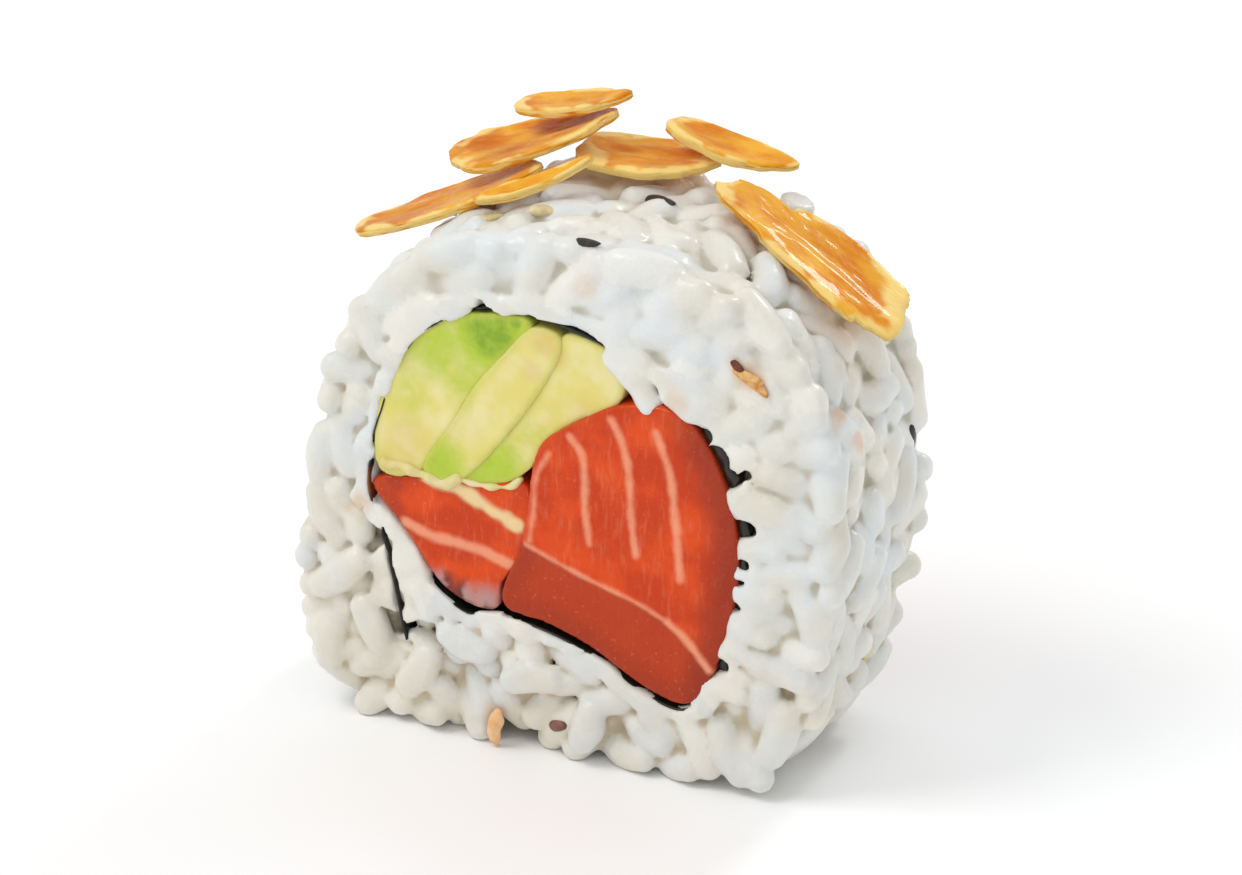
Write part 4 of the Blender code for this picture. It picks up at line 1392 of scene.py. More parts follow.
@dataclass
class NoriSheet:
    """The sheet of seaweed round the filling, whose outer end lies free in the rice."""

    steps: int = 8
    depth_steps: int = 44
    front: float = -9.3
    covered: float = -8.5
    back: float = 9.3
    thickness: float = 0.32
    inwards: float = 0.1
    fold: float = 1.0
    rubbed: tuple[float, float] = (-18.0, 21.2)
    waviness: float = 0.05
    finish: ToastedNori = ToastedNori()

    def build(self) -> bpy.types.Object:
        """Makes the sheet.

        Returns:
            The piece.
        """
        line, left = nori_line(self.steps, False)
        shown, _ = nori_line(self.steps, True)
        end = (line[-1] - line[-2]) / np.linalg.norm(line[-1] - line[-2])
        tail = np.array((0.3, 0.6, 0.9))[:, None] * end
        line, shown, left = (np.vstack(both) for both in (
            (line, line[-1] + tail), (shown, shown[-1] + tail), (left, np.repeat(left[-1:], 3, axis=0))))
        bare = 1.0 - smoothstep(-0.2, 0.5, np.minimum(
            distance_to_bare_nori(shown), distance_to_discs(line, NORI_POCKETS)))
        pocket = 1.0 - smoothstep(-0.8, 0.2, distance_to_discs(line, NORI_POCKETS))
        front = self.covered + (self.front - self.covered) * bare
        shares = np.linspace(0.0, 1.0, self.depth_steps) ** 1.3
        rows = []
        for share in shares:
            depth = front + (self.back - front) * share
            middle = np.stack([line[:, 0], depth, line[:, 1]], axis=1)
            wave = self.waviness * Lumps(2.2, 31).at(middle)
            rim = min(1.0, 0.45 + 8.0 * min(share, 1.0 - share))
            half = self.thickness / 2 * rim * (0.85 + 0.25 * Lumps(1.1, 32).at(middle))
            extra = self.fold * pocket * (1.0 - smoothstep(-8.4, -6.4, depth))
            for side, reach in ((1.0, half), (-1.0, half + extra)):
                lean = (1.0 - smoothstep(-8.6, -6.0, depth))[:, None] * (shown - line)
                place = line + lean + left * (self.inwards + wave + side * reach)[:, None]
                rows.append(np.stack([place[:, 0], depth, place[:, 1]], axis=1))
        points = np.array(rows)
        count = len(line)
        points = points.reshape(-1, 3)
        inner = [2 * row * count for row in range(self.depth_steps)]
        outer = [start + count for start in inner]
        faces = []
        for row in range(self.depth_steps - 1):
            for i in range(count - 1):
                a, b = inner[row], inner[row + 1]
                faces.append((a + i, a + i + 1, b + i + 1, b + i))
                a, b = outer[row], outer[row + 1]
                faces.append((a + i, b + i, b + i + 1, a + i + 1))
            for i, turned in ((0, False), (count - 1, True)):
                quad = (inner[row] + i, inner[row + 1] + i, outer[row + 1] + i, outer[row] + i)
                faces.append(quad[::-1] if turned else quad)
        for a, b in ((inner[0], outer[0]), (outer[-1], inner[-1])):
            for i in range(count - 1):
                faces.append((a + i, b + i, b + i + 1, a + i + 1))
        away = np.hypot(points[:, 0] - self.rubbed[0], points[:, 2] - self.rubbed[1])
        brown = (1.0 - smoothstep(0.5, 1.6, away)) * (1.0 - smoothstep(-9.1, -7.5, points[:, 1]))
        piece = make_piece("nori_sheet", points, faces, self.finish.material(), {"brown": brown})
        settle(piece, "nori")
        return piece


# The filling


def node_loop(node: str) -> tuple[np.ndarray, float, float]:
    """A strip of filling as its solid has it.

    Args:
        node: The node's name.

    Returns:
        Its outline on the cut face in millimetres, and its front and back.
    """
    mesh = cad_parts[node].data
    points = np.array([vertex.co for vertex in mesh.vertices]) / MM
    depths = np.unique(points[:, 1].round(2))
    ring = depths[1]
    links: dict[tuple, set] = {}
    for polygon in mesh.polygons:
        corners = [tuple(points[i].round(2)) for i in polygon.vertices]
        for a, b in zip(corners, corners[1:] + corners[:1]):
            if a != b and abs(a[1] - ring) < 0.02 and abs(b[1] - ring) < 0.02:
                links.setdefault(a, set()).add(b)
                links.setdefault(b, set()).add(a)
    start = min(links)
    loop, before, here = [start], None, start
    while True:
        following = [spot for spot in sorted(links[here]) if spot != before]
        before, here = here, following[0]
        if here == start or len(loop) > 400:
            break
        loop.append(here)
    return np.array([(x, z) for x, _, z in loop]), float(depths[0]), float(depths[-1])


def patches_at(spots: np.ndarray, patches: tuple) -> np.ndarray:
    """How strong the strongest of some round patches is.

    Args:
        spots: Points on the cut face.
        patches: Each patch's middle, reach and strength.

    Returns:
        The strength at each point.
    """
    total = np.zeros(len(spots))
    for x, z, reach, strength in patches:
        away = np.hypot(spots[:, 0] - x, spots[:, 1] - z)
        total = np.maximum(total, strength * (1.0 - smoothstep(0.2 * reach, reach, away)))
    return total


@dataclass
class FillingStrip:
    """One strip of filling, cut with a knife at both ends and pressed by its neighbours."""

    node: str
    name: str
    slot: Slot = Slot.SALMON
    step: float = 0.22
    swell: float = 0.36
    rounding: float = 0.14
    waviness: float = 0.04

    def __post_init__(self) -> None:
        """Reads the strip's solid."""
        loop, self.front, self.back = node_loop(self.node)
        self.loop = smooth_curve(loop, 4, True)

    def relief(self, spots: np.ndarray) -> np.ndarray:
        """How far the cut faces stand out at points on them, in millimetres."""
        return np.zeros(len(spots))

    def numbers(self, points: np.ndarray) -> dict[str, np.ndarray]:
        """The numbers that the material reads at each point.

        Args:
            points: Places in space in millimetres, one in each row.

        Returns:
            The numbers by name.
        """
        return {}

    def build(self, material: bpy.types.Material) -> bpy.types.Object:
        """Makes the strip.

        Args:
            material: Its material.

        Returns:
            The piece.
        """
        low = (self.loop[:, 0].min() - 0.9, self.front - 0.9, self.loop[:, 1].min() - 0.9)
        high = (self.loop[:, 0].max() + 0.9, self.back + 0.9, self.loop[:, 1].max() + 0.9)
        grid = DistanceGrid(low, high, self.step)
        spots = grid.face_points()
        outline = signed_distance(spots, self.loop)
        relief = self.relief(spots) + 0.05 * Lumps(3.0, 13).at(np.insert(spots, 1, 0.0, axis=1))
        outline, relief = grid.on_face(outline), grid.on_face(relief)
        middle, half = (self.front + self.back) / 2, (self.back - self.front) / 2
        waves = Lumps(4.0, 17).at(grid.points()).reshape(grid.shape)
        sides, ends = outline - self.swell + self.waviness * waves, np.abs(grid.y - middle) - half - relief
        values = smooth_max(sides, ends, self.rounding)
        points, faces = grid.skin(values)
        points = relaxed(points, faces, 1, 0.4)
        piece = make_piece(self.name, points, faces, material, self.numbers(points))
        settle(piece, self.node)
        return piece


@dataclass
class SalmonStrip(FillingStrip):
    """A strip of salmon with lines of fat that run through it.

    The lines of fat and the smears of avocado are each half a width and points on the cut face. The fold is
    the line below which the muscle is darker, and the film is patches of clear greyish flesh.
    """

    rounding: float = 0.09
    fat: tuple = ()
    fold: tuple = ()
    cream: tuple = ()
    film: tuple = ()

    def __post_init__(self) -> None:
        """Reads the solid and smooths the lines."""
        super().__post_init__()
        self.fat_lines = [(half, smooth_curve(points, 6, False)) for half, points in self.fat]
        self.fold_line = smooth_curve(self.fold, 6, False) if self.fold else None
        self.cream_lines = [(half, smooth_curve(points, 6, False)) for half, points in self.cream]

    def fat_distance(self, spots: np.ndarray) -> np.ndarray:
        """How far each point is outside the nearest line of fat.

        Args:
            spots: Points on the cut face.

        Returns:
            The distances in millimetres.
        """
        nearest = np.full(len(spots), 5.0)
        for half, line in self.fat_lines:
            nearest = np.minimum(nearest, distance_to_curve(spots, line, False) - half)
        return nearest

    def below_fold(self, spots: np.ndarray) -> np.ndarray:
        """How far each point lies below the fold, in millimetres.

        Args:
            spots: Points on the cut face.

        Returns:
            The depths.
        """
        if self.fold_line is None:
            return np.full(len(spots), -5.0)
        height = np.interp(spots[:, 0], self.fold_line[:, 0], self.fold_line[:, 1])
        return height - spots[:, 1]

    def cream_share(self, spots: np.ndarray) -> np.ndarray:
        """How thickly the smear of avocado lies at each point, from 0 to 1.

        Args:
            spots: Points on the cut face.

        Returns:
            The shares.
        """
        share = np.zeros(len(spots))
        ragged = 0.22 * Lumps(0.8, 6).at(np.insert(spots, 1, 0.0, axis=1))
        for half, line in self.cream_lines:
            away = distance_to_curve(spots, line, False) + ragged
            share = np.maximum(share, 1.0 - smoothstep(half - 0.4, half + 0.4, away))
        return share

    def relief(self, spots: np.ndarray) -> np.ndarray:
        """How far the cut faces stand out: fat stands a little proud and the fold lies lower.

        Args:
            spots: Points on the cut face.

        Returns:
            The heights in millimetres.
        """
        fat = 0.05 * (1.0 - smoothstep(0.0, 0.5, self.fat_distance(spots)))
        fold = -0.22 * smoothstep(-0.2, 0.7, self.below_fold(spots))
        return fat + fold + 0.15 * self.cream_share(spots)

    def numbers(self, points: np.ndarray) -> dict[str, np.ndarray]:
        """The numbers that the material reads at each point.

        Args:
            points: Places in space in millimetres, one in each row.

        Returns:
            The numbers by name.
        """
        spots = points[:, [0, 2]]
        inwards = -signed_distance(spots, self.loop)
        lower = 0.85 * smoothstep(-0.15, 0.35, self.below_fold(spots))
        front = 1.0 - smoothstep(self.front + 0.6, self.front + 2.5, points[:, 1])
        # Painted shade: edge darkens a thin rim all round, and broader bands inside the outline at the right
        # and left ends and below the fold.
        edge = 0.1 * (1.0 - smoothstep(0.0, 0.8, inwards))
        right, left = smoothstep(7.0, 12.0, spots[:, 0]), smoothstep(-13.5, -15.5, spots[:, 0])
        darker = ((0.8, 0.3, 3.6, right), (0.5, 0.3, 2.0, left), (0.5, 0.2, 2.4, lower))
        for strength, start, reach, where in darker:
            edge = np.maximum(edge, strength * (1.0 - smoothstep(start, reach, inwards)) * where)
        return {"fat": self.fat_distance(spots) + 0.2, "lower": lower, "edge": edge,
                "film": patches_at(spots, self.film), "cream": self.cream_share(spots) * front}


@dataclass
class AvocadoStrip(FillingStrip):
    """A strip of avocado, greener towards where its skin was.

    The green and the bruised patches are each a middle, a reach and a strength.
    """

    slot: Slot = Slot.AVOCADO
    rounding: float = 0.08
    green: tuple = ()
    bruise: tuple = ()

    def relief(self, spots: np.ndarray) -> np.ndarray:
        """How far the cut faces stand out: soft flesh is dragged by the knife.

        Args:
            spots: Points on the cut face.

        Returns:
            The heights in millimetres.
        """
        dragged = Lumps(1.6, 23).at(np.stack([spots[:, 0], np.zeros(len(spots)), spots[:, 1] * 0.5], axis=1))
        return 0.08 * dragged

    def numbers(self, points: np.ndarray) -> dict[str, np.ndarray]:
        """The numbers that the material reads at each point.

        Args:
            points: Places in space in millimetres, one in each row.

        Returns:
            The numbers by name.
        """
        spots = points[:, [0, 2]]
        inwards = -signed_distance(spots, self.loop)
        # Painted shade along the outline, strongest at the rim and gone 0.45 mm inwards
        crease_shade = 0.5 * (1.0 - smoothstep(-0.2, 0.45, inwards))
        return {"green": patches_at(spots, self.green), "bruise": patches_at(spots, self.bruise),
                "crease_shade": crease_shade}


@dataclass(frozen=True)
class AvocadoSmear:
    """Soft avocado pressed out between the slices and the salmon strip."""

    name: str
    line: tuple[tuple[float, float], ...]
    reach: float
    step: float = 0.14

    def build(self, material: bpy.types.Material) -> bpy.types.Object:
        """Makes the smear.

        Args:
            material: The avocado's material.

        Returns:
            The piece.
        """
        line = smooth_curve(self.line, 6, False)
        grid = DistanceGrid((-17.8, -10.0, 21.0), (-3.8, -8.2, 25.0), self.step)
        lumps = Lumps(0.9, 91).at(grid.points()).reshape(grid.shape)
        away = grid.on_face(distance_to_curve(grid.face_points(), line, False))
        values = np.sqrt(away ** 2 + (0.8 * (grid.y + 9.1)) ** 2) - self.reach - 0.12 * lumps
        points, faces = grid.skin(values)
        count = len(points)
        piece = make_piece(self.name, points, faces, material, {
            "green": np.full(count, -0.3), "bruise": np.full(count, 0.1), "crease_shade": np.zeros(count)})
        settle(piece)
        return piece


@dataclass
class Filling:
    """The salmon and the avocado inside the nori, and the avocado pressed out between them."""

    salmon: RawSalmon = RawSalmon()
    avocado: RipeAvocado = RipeAvocado()
    smeared: RipeAvocado = RipeAvocado("smeared_avocado", "#d9cc86", "#e8dcae")

    def build(self) -> list[bpy.types.Object]:
        """Makes the strips of salmon and avocado.

        Returns:
            The pieces.
        """
        pieces = []
        salmon = self.salmon.material()
        avocado = self.avocado.material()
        pieces.append(SalmonStrip(
            "salmon_block", "salmon_block_flesh",
            fat=(
                (0.15, ((0.3, 29.0), (1.4, 27.6), (1.6, 25.2), (1.6, 22.9), (2.0, 20.0))),
                (0.17, ((3.9, 31.1), (4.9, 29.3), (5.4, 26.8), (5.6, 23.1), (6.0, 19.8))),
                (0.20, ((7.7, 30.8), (8.8, 27.8), (9.3, 24.5), (9.6, 21.1), (9.8, 18.5))),
                (0.06, ((-1.5, 27.2), (-2.6, 25.0), (-2.9, 22.0), (-3.3, 19.2))),
                (0.06, ((-3.6, 18.8), (-0.4, 17.6), (2.8, 16.6), (6.0, 15.7), (8.9, 14.4))),
                (0.26, ((8.7, 14.5), (10.6, 13.0), (12.3, 11.1))),
            ),
            fold=((-6.0, 19.8), (-3.6, 18.8), (-0.4, 17.6), (2.8, 16.6), (6.0, 15.7), (8.9, 14.4), (10.6, 13.0),
                  (12.0, 11.4), (14.0, 9.4)),
        ).build(salmon))
        pieces.append(SalmonStrip(
            "salmon_strip", "salmon_strip_flesh",
            fat=((0.34, ((-14.4, 18.4), (-12.1, 17.7), (-10.3, 17.6), (-8.0, 17.3), (-5.3, 16.6))),),
            cream=((0.62, ((-10.9, 22.9), (-8.8, 22.0), (-6.7, 20.9), (-4.6, 20.1))),
                   (0.5, ((-15.0, 23.6), (-13.0, 23.0), (-11.6, 22.5), (-10.4, 22.9)))),
            film=((-11.2, 13.6, 1.9, 0.9), (-9.4, 12.7, 2.3, 0.95), (-7.4, 12.6, 2.5, 0.95),
                  (-5.6, 13.2, 2.0, 0.8)),
        ).build(salmon))
        pieces.append(AvocadoStrip(
            "avocado_slice_left", "avocado_left_flesh",
            green=((-7.4, 38.4, 1.4, 1.3), (-6.0, 37.8, 1.3, 1.05), (-4.6, 37.7, 1.3, 1.05),
                   (-3.2, 37.9, 1.2, 1.0), (-6.8, 36.6, 5.6, 1.0), (-11.6, 34.4, 5.0, 0.6),
                   (-8.8, 32.4, 4.6, 0.45), (-14.4, 30.0, 4.0, 0.3)),
            bruise=((-14.2, 25.6, 3.6, 0.2), (-16.0, 23.6, 1.4, 0.3)),
        ).build(avocado))
        pieces.append(AvocadoStrip(
            "avocado_slice_middle", "avocado_middle_flesh",
            green=((-12.4, 24.0, 5.4, 0.75), (-9.2, 30.4, 2.6, 0.3)),
            bruise=((-1.9, 36.4, 1.7, 0.4), (-3.0, 33.8, 1.4, 0.3)),
        ).build(avocado))
        pieces.append(AvocadoStrip(
            "avocado_slice_right", "avocado_right_flesh",
            green=((-7.0, 24.4, 5.6, 0.75), (-3.4, 28.2, 2.8, 0.3)),
            bruise=((-1.0, 35.4, 1.5, 0.35), (1.6, 31.3, 1.8, 0.2)),
        ).build(avocado))
        smeared = self.smeared.material()
        pieces.append(AvocadoSmear("avocado_smear_left", (
            (-16.2, 23.4), (-14.9, 23.3), (-13.5, 23.0), (-12.3, 22.8), (-11.2, 22.4), (-10.3, 22.8),
            (-9.7, 23.2)), 0.46,
        ).build(smeared))
        pieces.append(AvocadoSmear("avocado_smear_right", (
            (-9.6, 23.2), (-8.0, 23.0), (-6.4, 23.1), (-5.0, 23.4), (-4.3, 24.2)), 0.24,
        ).build(smeared))
        return pieces


# The almond flakes


@dataclass
class AlmondFlake:
    """One thin slice of almond, with the turn, size and curl that its solid has."""

    node: str
    along: tuple[float, float, float]
    tilt: float
    length: float
    width: float
    curl: float
    twist: float
    draw: int
    toast: float = 0.3
    bites: tuple[tuple[float, float, float], ...] = ()
    pale: float = 0.0
    pale_end: float = 0.0
    glazed: bool = False
    squareness: float = 0.92
    thickness: float = 0.8
    dents: float = 0.08
    pits: float = 0.02
    sunk_middle: float = 0.11
    groove: float = 0.12
    spokes: int = 96
    rings: int = 26

    def turn(self) -> Matrix:
        """The turn of the flake's own axes, as its solid has it.

        Returns:
            The turn.
        """
        along = Vector(self.along).normalized()
        across = Vector((0, 0, 1)).cross(along).normalized()
        across = Matrix.Rotation(math.radians(self.tilt), 3, along) @ across
        return Matrix((along, across, along.cross(across))).transposed()

    def outline(self, share: np.ndarray, angle: np.ndarray) -> tuple[np.ndarray, np.ndarray]:
        """Places on the flake before it curls.

        Args:
            share: How far out each place is, 1 at the rim.
            angle: The direction from the middle.

        Returns:
            The places along and across the flake.
        """
        waves = np.random.default_rng(self.draw).uniform(-1, 1, 4)
        ragged = 1 + 0.05 * waves[0] * np.sin(3 * angle) + 0.04 * waves[1] * np.cos(5 * angle)
        along, across = np.cos(angle), np.sin(angle)
        x = share * ragged * self.length / 2 * np.sign(along) * np.abs(along) ** self.squareness
        y = share * ragged * self.width / 2 * np.sign(across) * np.abs(across) ** self.squareness
        return x, y * (1 - 0.22 * along)

    def lift(self, x: np.ndarray, y: np.ndarray) -> np.ndarray:
        """How far the flake's middle plane curls up at a place on it."""
        return self.curl * (2 * x / self.length) ** 2 + self.twist * (x / self.length) * (2 * y / self.width)

    def seat(self, turn: np.ndarray) -> np.ndarray:
        """Where the solid's middle is, from the box that it fills along its own axes.

        Args:
            turn: The flake's axes, one in each column.

        Returns:
            The middle in the flake's own axes.
        """
        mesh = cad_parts[self.node].data
        own = np.array([vertex.co for vertex in mesh.vertices]) / MM @ turn
        angle = np.arange(12) * 2 * math.pi / 12
        x, y = self.outline(np.ones(12), angle)
        z = self.lift(x, y)
        middle = (own.max(axis=0) + own.min(axis=0)) / 2
        low = np.array([x.min(), y.min(), min((z - 0.225).min(), -0.5)])
        high = np.array([x.max(), y.max(), (z + 0.225).max()])
        for share, half in ((0.5, 0.5), (0.86, 0.45)):
            px, py = self.outline(np.full(12, share), angle)
            pz = self.lift(px, py)
            low[2] = min(low[2], (pz - half).min())
            high[2] = max(high[2], (pz + half).max())
        high[2] = max(high[2], 0.5)
        return middle - (low + high) / 2

    def build(self, material: bpy.types.Material) -> bpy.types.Object:
        """Makes the flake.

        Args:
            material: Its material.

        Returns:
            The piece.
        """
        turn = np.array(self.turn())
        angle = np.arange(self.spokes) * 2 * math.pi / self.spokes
        shares = np.linspace(0.04, 1.0, self.rings) ** 0.8
        round_rim = np.stack([self.length * np.cos(angle), self.width * np.sin(angle), 0 * angle], axis=1)
        broken = 0.05 * (1.0 + Lumps(3.2, 40 + self.draw).at(round_rim))
        broken += 0.02 * (1.0 + Lumps(1.0, 45 + self.draw).at(round_rim))
        for where, wide, deep in self.bites:
            away = (np.degrees(angle) - where + 180.0) % 360.0 - 180.0
            broken += deep * np.exp(-(away / wide) ** 2)
        fine = Lumps(0.8, 50 + self.draw)
        broad = Lumps(3.0, 60 + self.draw)
        layers = []
        for side in (1.0, -1.0):
            for share in shares:
                x, y = self.outline(share * (1.0 - broken), angle)
                flat = np.stack([x / 2.0, y * 1.5, np.full(len(x), 7.0 * side)], axis=1)
                edge = 1.0 - 0.45 * float(smoothstep(0.95, 1.0, np.array(share)))
                dent = self.dents * broad.at(flat) + self.pits * fine.at(flat)
                hollow = -self.sunk_middle * (1.0 - float(smoothstep(0.45, 0.9, np.array(share))))
                hollow = hollow - self.groove * np.exp(-(y / 0.5) ** 2) * (1.0 - share)
                half = self.thickness / 2 * edge + dent + hollow
                layers.append((np.stack([x, y, self.lift(x, y) + side * half], axis=1), share, side))
        points = [layer for layer, _, _ in layers]
        rim = np.concatenate([np.full(self.spokes, share) for _, share, _ in layers]) + self.pale
        count = self.spokes
        faces = []
        for side_number in (0, 1):
            first = side_number * self.rings * count
            for ring in range(self.rings - 1):
                for i in range(count):
                    j = (i + 1) % count
                    a, b = first + ring * count, first + (ring + 1) * count
                    quad = (a + i, b + i, b + j, a + j)
                    faces.append(quad if side_number == 0 else quad[::-1])
            hub = tuple(first + i for i in range(count))
            faces.append(hub if side_number == 0 else hub[::-1])
        top, bottom = (self.rings - 1) * count, (2 * self.rings - 1) * count
        for i in range(count):
            j = (i + 1) % count
            faces.append((top + i, bottom + i, bottom + j, top + j))
        local = np.vstack(points)
        rim = rim + self.pale_end * smoothstep(0.45, 1.0, -2.0 * local[:, 0] / self.length)
        toast = self.toast * smoothstep(0.1, 0.9, 0.5 + 0.5 * Lumps(3.4, 70 + self.draw).at(local))
        toast = toast * np.clip(1.0 - 0.6 * rim, 0.0, 1.0)
        placed = (local + self.seat(turn)) @ turn.T
        layer = np.repeat((10.0 * self.draw, 10.0 * self.draw + 5.0), self.rings * count)
        piece = make_piece(self.node.replace("almond_flake", "almond"), placed, faces, material, {
            "rim": rim, "toast": toast, "along": local[:, 0] * MM, "across": local[:, 1] * MM,
            "layer": layer * MM})
        settle(piece, self.node)
        return piece


# Each flake: node, direction, tilt, length, width, curl, twist, draw, toast, bites and paleness
FLAKES = (
    AlmondFlake("almond_flake_low_left", (0.9, 0.2, 0.42), -3, 18.0, 8.2, 0.5, 0.4, 3, 0.8,
                ((40, 14, 0.12),), 0.06),
    AlmondFlake("almond_flake_light", (1.0, 0.10, 0.0), 1, 12.5, 8.0, 0.4, 0.3, 1, 0.1, (), 0.2),
    AlmondFlake("almond_flake_hero", (-18.4, 4.0, 8.8), -4, 20.7, 7.4, -0.5, 0.6, 4, 0.3,
                ((302, 13, 0.30), (210, 16, 0.06), (145, 14, 0.08), (60, 14, 0.06)), 0.0, 0.3, True, 0.76),
    AlmondFlake("almond_flake_thin", (1.0, -0.10, -0.14), -2, 12.0, 5.0, 0.4, 0.3, 5, 0.3, ((250, 14, 0.12),)),
    AlmondFlake("almond_flake_upper_left", (0.93, 0.12, 0.34), 3, 16.0, 8.5, 0.7, -0.5, 2, 1.0,
                ((120, 14, 0.14),), -0.02),
    AlmondFlake("almond_flake_top_left", (0.95, -0.10, 0.26), 4, 11.5, 4.6, 0.4, 0.4, 7, 0.4, (), 0.05),
    AlmondFlake("almond_flake_stick", (0.84, 0.22, 0.40), 14, 11.0, 2.0, 0.5, 0.1, 6, 0.1, (), 0.1),
)


# Sesame and crumbs


@dataclass
class SesameSeeds:
    """Black and white sesame seeds pressed into the outside of the rice, where the solids have them."""

    count: int = 24
    draw: int = 5
    seen_from: float = -9.0
    seen_to: float = 3.0
    placed: tuple = (
        ((0.6, -8.0, 45.2), (1.0, 0.2, 0.0), "black"), ((2.6, 2.4, 45.2), (1.0, -0.2, 0.0), "black"),
        ((-5.1, -2.2, 44.9), (0.8, 0.6, 0.0), "white"), ((23.2, -3.4, 21.0), (0.0, 0.5, 1.0), "white"),
    )
    length: float = 3.2
    width: float = 1.9
    sunk: float = 0.3

    def places(self) -> list[tuple[np.ndarray, np.ndarray, np.ndarray, str]]:
        """Each seed's middle, direction, outside and colour, by the rule that the solids use.

        Returns:
            The seeds.
        """
        rng = np.random.default_rng(self.draw)
        edge = smooth_curve(RICE_OUTLINE, 5, True)
        along = np.roll(edge, -1, axis=0) - np.roll(edge, 1, axis=0)
        along /= np.linalg.norm(along, axis=1, keepdims=True)
        above = np.nonzero(edge[:, 1] > 5.0)[0]
        listed = []
        for number in range(self.count):
            index = above[int((number + rng.uniform(0.1, 0.9)) / self.count * len(above))]
            depth = rng.uniform(-0.42, 0.42) * 2 * FACE
            outside = np.array([along[index, 1], 0.0, -along[index, 0]])
            middle = np.array([edge[index, 0], depth, edge[index, 1]])
            turn = rng.uniform(0, math.pi)
            direction = math.cos(turn) * np.array([along[index, 0], 0, along[index, 1]])
            if middle[0] < self.seen_from or depth > self.seen_to:
                colour = "black" if number % 3 == 1 else "white"
                listed.append((middle, direction + np.array([0, math.sin(turn), 0]), outside, colour))
        for middle, direction, colour in self.placed:
            index = np.argmin(np.linalg.norm(edge - np.array(middle)[[0, 2]], axis=1))
            outside = np.array([along[index, 1], 0.0, -along[index, 0]])
            listed.append((np.array(middle), np.array(direction), outside, colour))
        return listed

    def seed_shape(self, middle: np.ndarray, direction: np.ndarray, outside: np.ndarray,
                   size: float) -> tuple[np.ndarray, list]:
        """One seed, shaped like a flat drop.

        Args:
            middle: The seed's middle.
            direction: The way that its tip points.
            outside: The way that its flat side faces.
            size: Its size, 1 for a usual seed.

        Returns:
            Its points and faces.
        """
        rings, sides = 12, 14
        along = direction / np.linalg.norm(direction)
        side = np.cross(along, outside)
        side /= np.linalg.norm(side)
        flat = np.cross(along, side)
        points = []
        for ring in range(rings + 1):
            share = ring / rings
            u = (share - 0.5) * self.length * size
            radius = math.sqrt(max(share * (1 - share), 0.0)) * 2 * (1.12 - 0.62 * share) / 1.12
            for i in range(sides):
                angle = 2 * math.pi * i / sides
                v = radius * self.width * size / 2 * math.cos(angle)
                w = radius * self.width * size * 0.28 * math.sin(angle)
                points.append(middle + along * u + side * v + flat * w)
        faces = []
        for ring in range(rings):
            for i in range(sides):
                j = (i + 1) % sides
                a, b = ring * sides, (ring + 1) * sides
                faces.append((a + i, a + j, b + j, b + i))
        return np.array(points), faces

    def build(self, rice: bpy.types.Object) -> list[bpy.types.Object]:
        """Makes the seeds, one piece of each colour, and lays them on the rice.

        Args:
            rice: The rice that they lie on.

        Returns:
            The pieces.
        """
        tree = BVHTree.FromObject(rice, bpy.context.evaluated_depsgraph_get())
        shapes: dict[str, list] = {"black": [], "white": []}
        rng = np.random.default_rng(12)
        for middle, direction, outside, colour in self.places():
            start = Vector((middle + outside * 4.0) * MM)
            hit = tree.ray_cast(start, Vector(-outside))
            if hit[0]:
                middle = np.array(hit[0]) / MM - outside * self.sunk
            tipped = direction + outside * rng.uniform(-0.12, 0.12)
            shapes[colour].append(self.seed_shape(middle, tipped, outside, rng.uniform(0.9, 1.05)))
        finishes = {
            "black": SeedCoat("black_sesame_coat", "#26211f", "#3b3430", 0.4),
            "white": SeedCoat("white_sesame_coat", "#e2d3a4", "#cdb67e", 0.45),
        }
        pieces = []
        for colour, listed in shapes.items():
            points, faces = join_shapes(listed)
            piece = make_piece(f"sesame_{colour}", points, faces, finishes[colour].material())
            settle(piece)
            pieces.append(piece)
        return pieces


@dataclass(frozen=True)
class ToastedCrumb:
    """A crumb of toasted almond stuck to the rice: dry, rough and brown."""

    name: str
    crust: str
    inside: str

    def material(self) -> bpy.types.Material:
        """The crumb's material.

        Returns:
            The material.
        """
        g = Graph(self.name)
        grit = g.pattern(0.9, 3.0, 0.6)
        body = g.paint(self.crust, ((self.inside, grit, 0.3, 0.7),))
        return g.close({"Base Color": body, "Roughness": 0.5, "IOR": 1.46}, reliefs=((grit, 0.08),))


@dataclass(frozen=True)
class AlmondCrumb:
    """A crumb of toasted almond on the cut face: blunt, uneven and longer than it is thick."""

    finish: ToastedCrumb
    middle: tuple[float, float, float]
    direction: tuple[float, float, float]
    size: tuple[float, float, float]
    draw: int
    rows: int = 14
    sides: int = 18
    bluntness: float = 0.6
    unevenness: float = 0.28

    def build(self) -> bpy.types.Object:
        """Makes the crumb.

        Returns:
            The piece.
        """
        sides = self.sides
        along = np.array(self.direction) / np.linalg.norm(self.direction)
        axes = np.stack([along, np.cross((0.0, 1.0, 0.0), along), (0.0, 1.0, 0.0)])
        ring_angles = np.linspace(0.02, math.pi - 0.02, self.rows)
        up, round_it = np.meshgrid(ring_angles, np.arange(sides) * 2 * math.pi / sides, indexing="ij")
        blunt = np.sin(up) ** self.bluntness
        ball = np.stack([np.cos(up), blunt * np.cos(round_it), blunt * np.sin(round_it)], axis=-1)
        ball = ball.reshape(-1, 3) * np.array(self.size) / 2
        ball *= 1.0 + self.unevenness * Lumps(0.9, self.draw).at(ball)[:, None]
        faces = []
        for first in range(0, (self.rows - 1) * sides, sides):
            for i in range(sides):
                j = (i + 1) % sides
                faces.append((first + i, first + j, first + sides + j, first + sides + i))
        faces += [tuple(range(sides))[::-1], tuple((self.rows - 1) * sides + i for i in range(sides))]
        points = np.array(self.middle) + ball @ axes
        piece = make_piece(self.finish.name, points, faces, self.finish.material())
        settle(piece)
        return piece


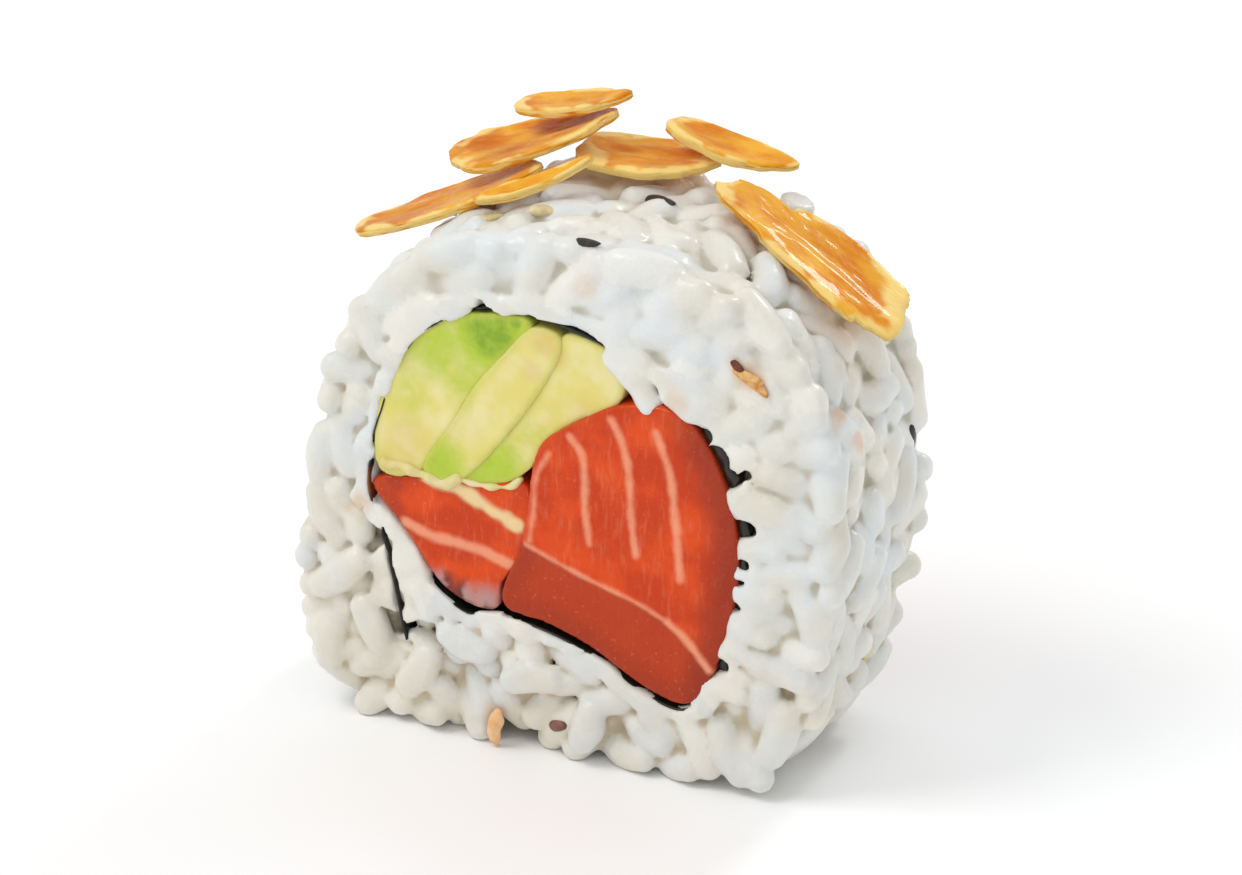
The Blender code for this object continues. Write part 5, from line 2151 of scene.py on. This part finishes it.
# Each crumb: finish, middle, direction, its length, width and thickness, and its draw
CRUMBS = (
    AlmondCrumb(ToastedCrumb("golden_almond_crumb", "#c07a2c", "#e9bd7c"),
                (15.9, -9.75, 36.8), (0.85, 0.0, -0.5), (3.3, 1.1, 0.5), 80),
    AlmondCrumb(ToastedCrumb("brown_almond_crumb", "#5a2a12", "#7c431f"),
                (14.7, -9.75, 37.7), (0.7, 0.0, -0.7), (1.7, 0.8, 0.45), 81),
    AlmondCrumb(ToastedCrumb("orange_almond_crumb", "#e8ae73", "#eec79b"),
                (-6.4, -9.6, 2.0), (0.15, 0.0, 1.0), (3.4, 1.3, 0.9), 82),
    # A dark brown lump at the foot of the cut face: painted shade that stands for a dark gap between grains.
    AlmondCrumb(ToastedCrumb("dark_gap_shade_lump", "#5d332b", "#8a5c50"),
                (-0.9, -9.1, 3.0), (1.0, 0.0, 0.5), (1.9, 1.0, 0.7), 83),
)


# The table, the light and the camera


@dataclass
class Studio:
    """A white table in soft daylight, and a camera at the photograph's angle."""

    azimuth: float = 25.0
    elevation: float = 25.0
    distance: float = 450.0
    aim: tuple[float, float, float] = (0.0, 0.5, 24.6)
    lens: float = 163.0

    def back(self) -> Vector:
        """The direction from the slice to the camera."""
        a, e = math.radians(self.azimuth), math.radians(self.elevation)
        return Vector((math.sin(a) * math.cos(e), -math.cos(a) * math.cos(e), math.sin(e)))

    def add_camera(self) -> None:
        """Makes the camera and looks through it."""
        data = bpy.data.cameras.new("camera")
        data.lens = self.lens
        data.clip_start, data.clip_end = 0.01, 20.0
        camera = bpy.data.objects.new("camera", data)
        camera.location = (Vector(self.aim) + self.back() * self.distance) * MM
        camera.rotation_euler = self.back().to_track_quat("Z", "Y").to_euler()
        bpy.context.scene.collection.objects.link(camera)
        bpy.context.scene.camera = camera

    def add_lamp(self, name: str, place: tuple[float, float, float], size: float, power: float,
                 colour: str) -> None:
        """Makes a soft square lamp that points at the slice.

        Args:
            name: The lamp's name.
            place: Where it is, in millimetres.
            size: The side of the square, in millimetres.
            power: Its power in watts.
            colour: Its colour.
        """
        data = bpy.data.lights.new(name, "AREA")
        data.size = size * MM
        data.energy = power
        data.color = linear(colour)[:3]
        lamp = bpy.data.objects.new(name, data)
        lamp.location = Vector(place) * MM
        lamp.rotation_euler = (Vector(place) - Vector((0, 0, 20))).to_track_quat("Z", "Y").to_euler()
        bpy.context.scene.collection.objects.link(lamp)

    def build(self) -> None:
        """Makes the table, the light and the camera."""
        half = 1500.0
        corners = np.array([(-half, -half, 0), (half, -half, 0), (half, half, 0), (-half, half, 0)])
        floor = make_piece("table_top", corners, [(0, 1, 2, 3)], PaintedTable().material())
        world = bpy.data.worlds.new("daylight")
        world.use_nodes = True
        world.node_tree.nodes["Background"].inputs["Color"].default_value = linear("#f9fafb")
        world.node_tree.nodes["Background"].inputs["Strength"].default_value = 0.78
        bpy.context.scene.world = world
        self.add_lamp("key", (-230.0, -190.0, 440.0), 220.0, 0.85, "#ffffff")
        self.add_lamp("front_fill", (120.0, -480.0, 190.0), 320.0, 0.12, "#fffaf2")
        self.add_lamp("back_sheen", (110.0, 420.0, 390.0), 90.0, 0.6, "#fbfcff")
        bpy.context.scene.view_settings.view_transform = "Standard"
        self.add_camera()


def main() -> None:
    """Builds the slice, piece by piece, and reports each."""
    logging.basicConfig(level=logging.INFO, format="%(name)s %(message)s")
    Studio().build()
    rice = RiceBody().build()
    pieces = [rice, NoriSheet().build(), *Filling().build()]
    dry, glazed = FriedAlmond().material(), FriedAlmond("glazed_almond", 0.34).material()
    pieces += [flake.build(glazed if flake.glazed else dry) for flake in FLAKES]
    pieces += SesameSeeds().build(rice)
    pieces += [crumb.build() for crumb in CRUMBS]
    for piece in pieces:
        LOG.info("%s: %d faces", piece.name, len(piece.data.polygons))


if __name__ == "__main__":
    main()
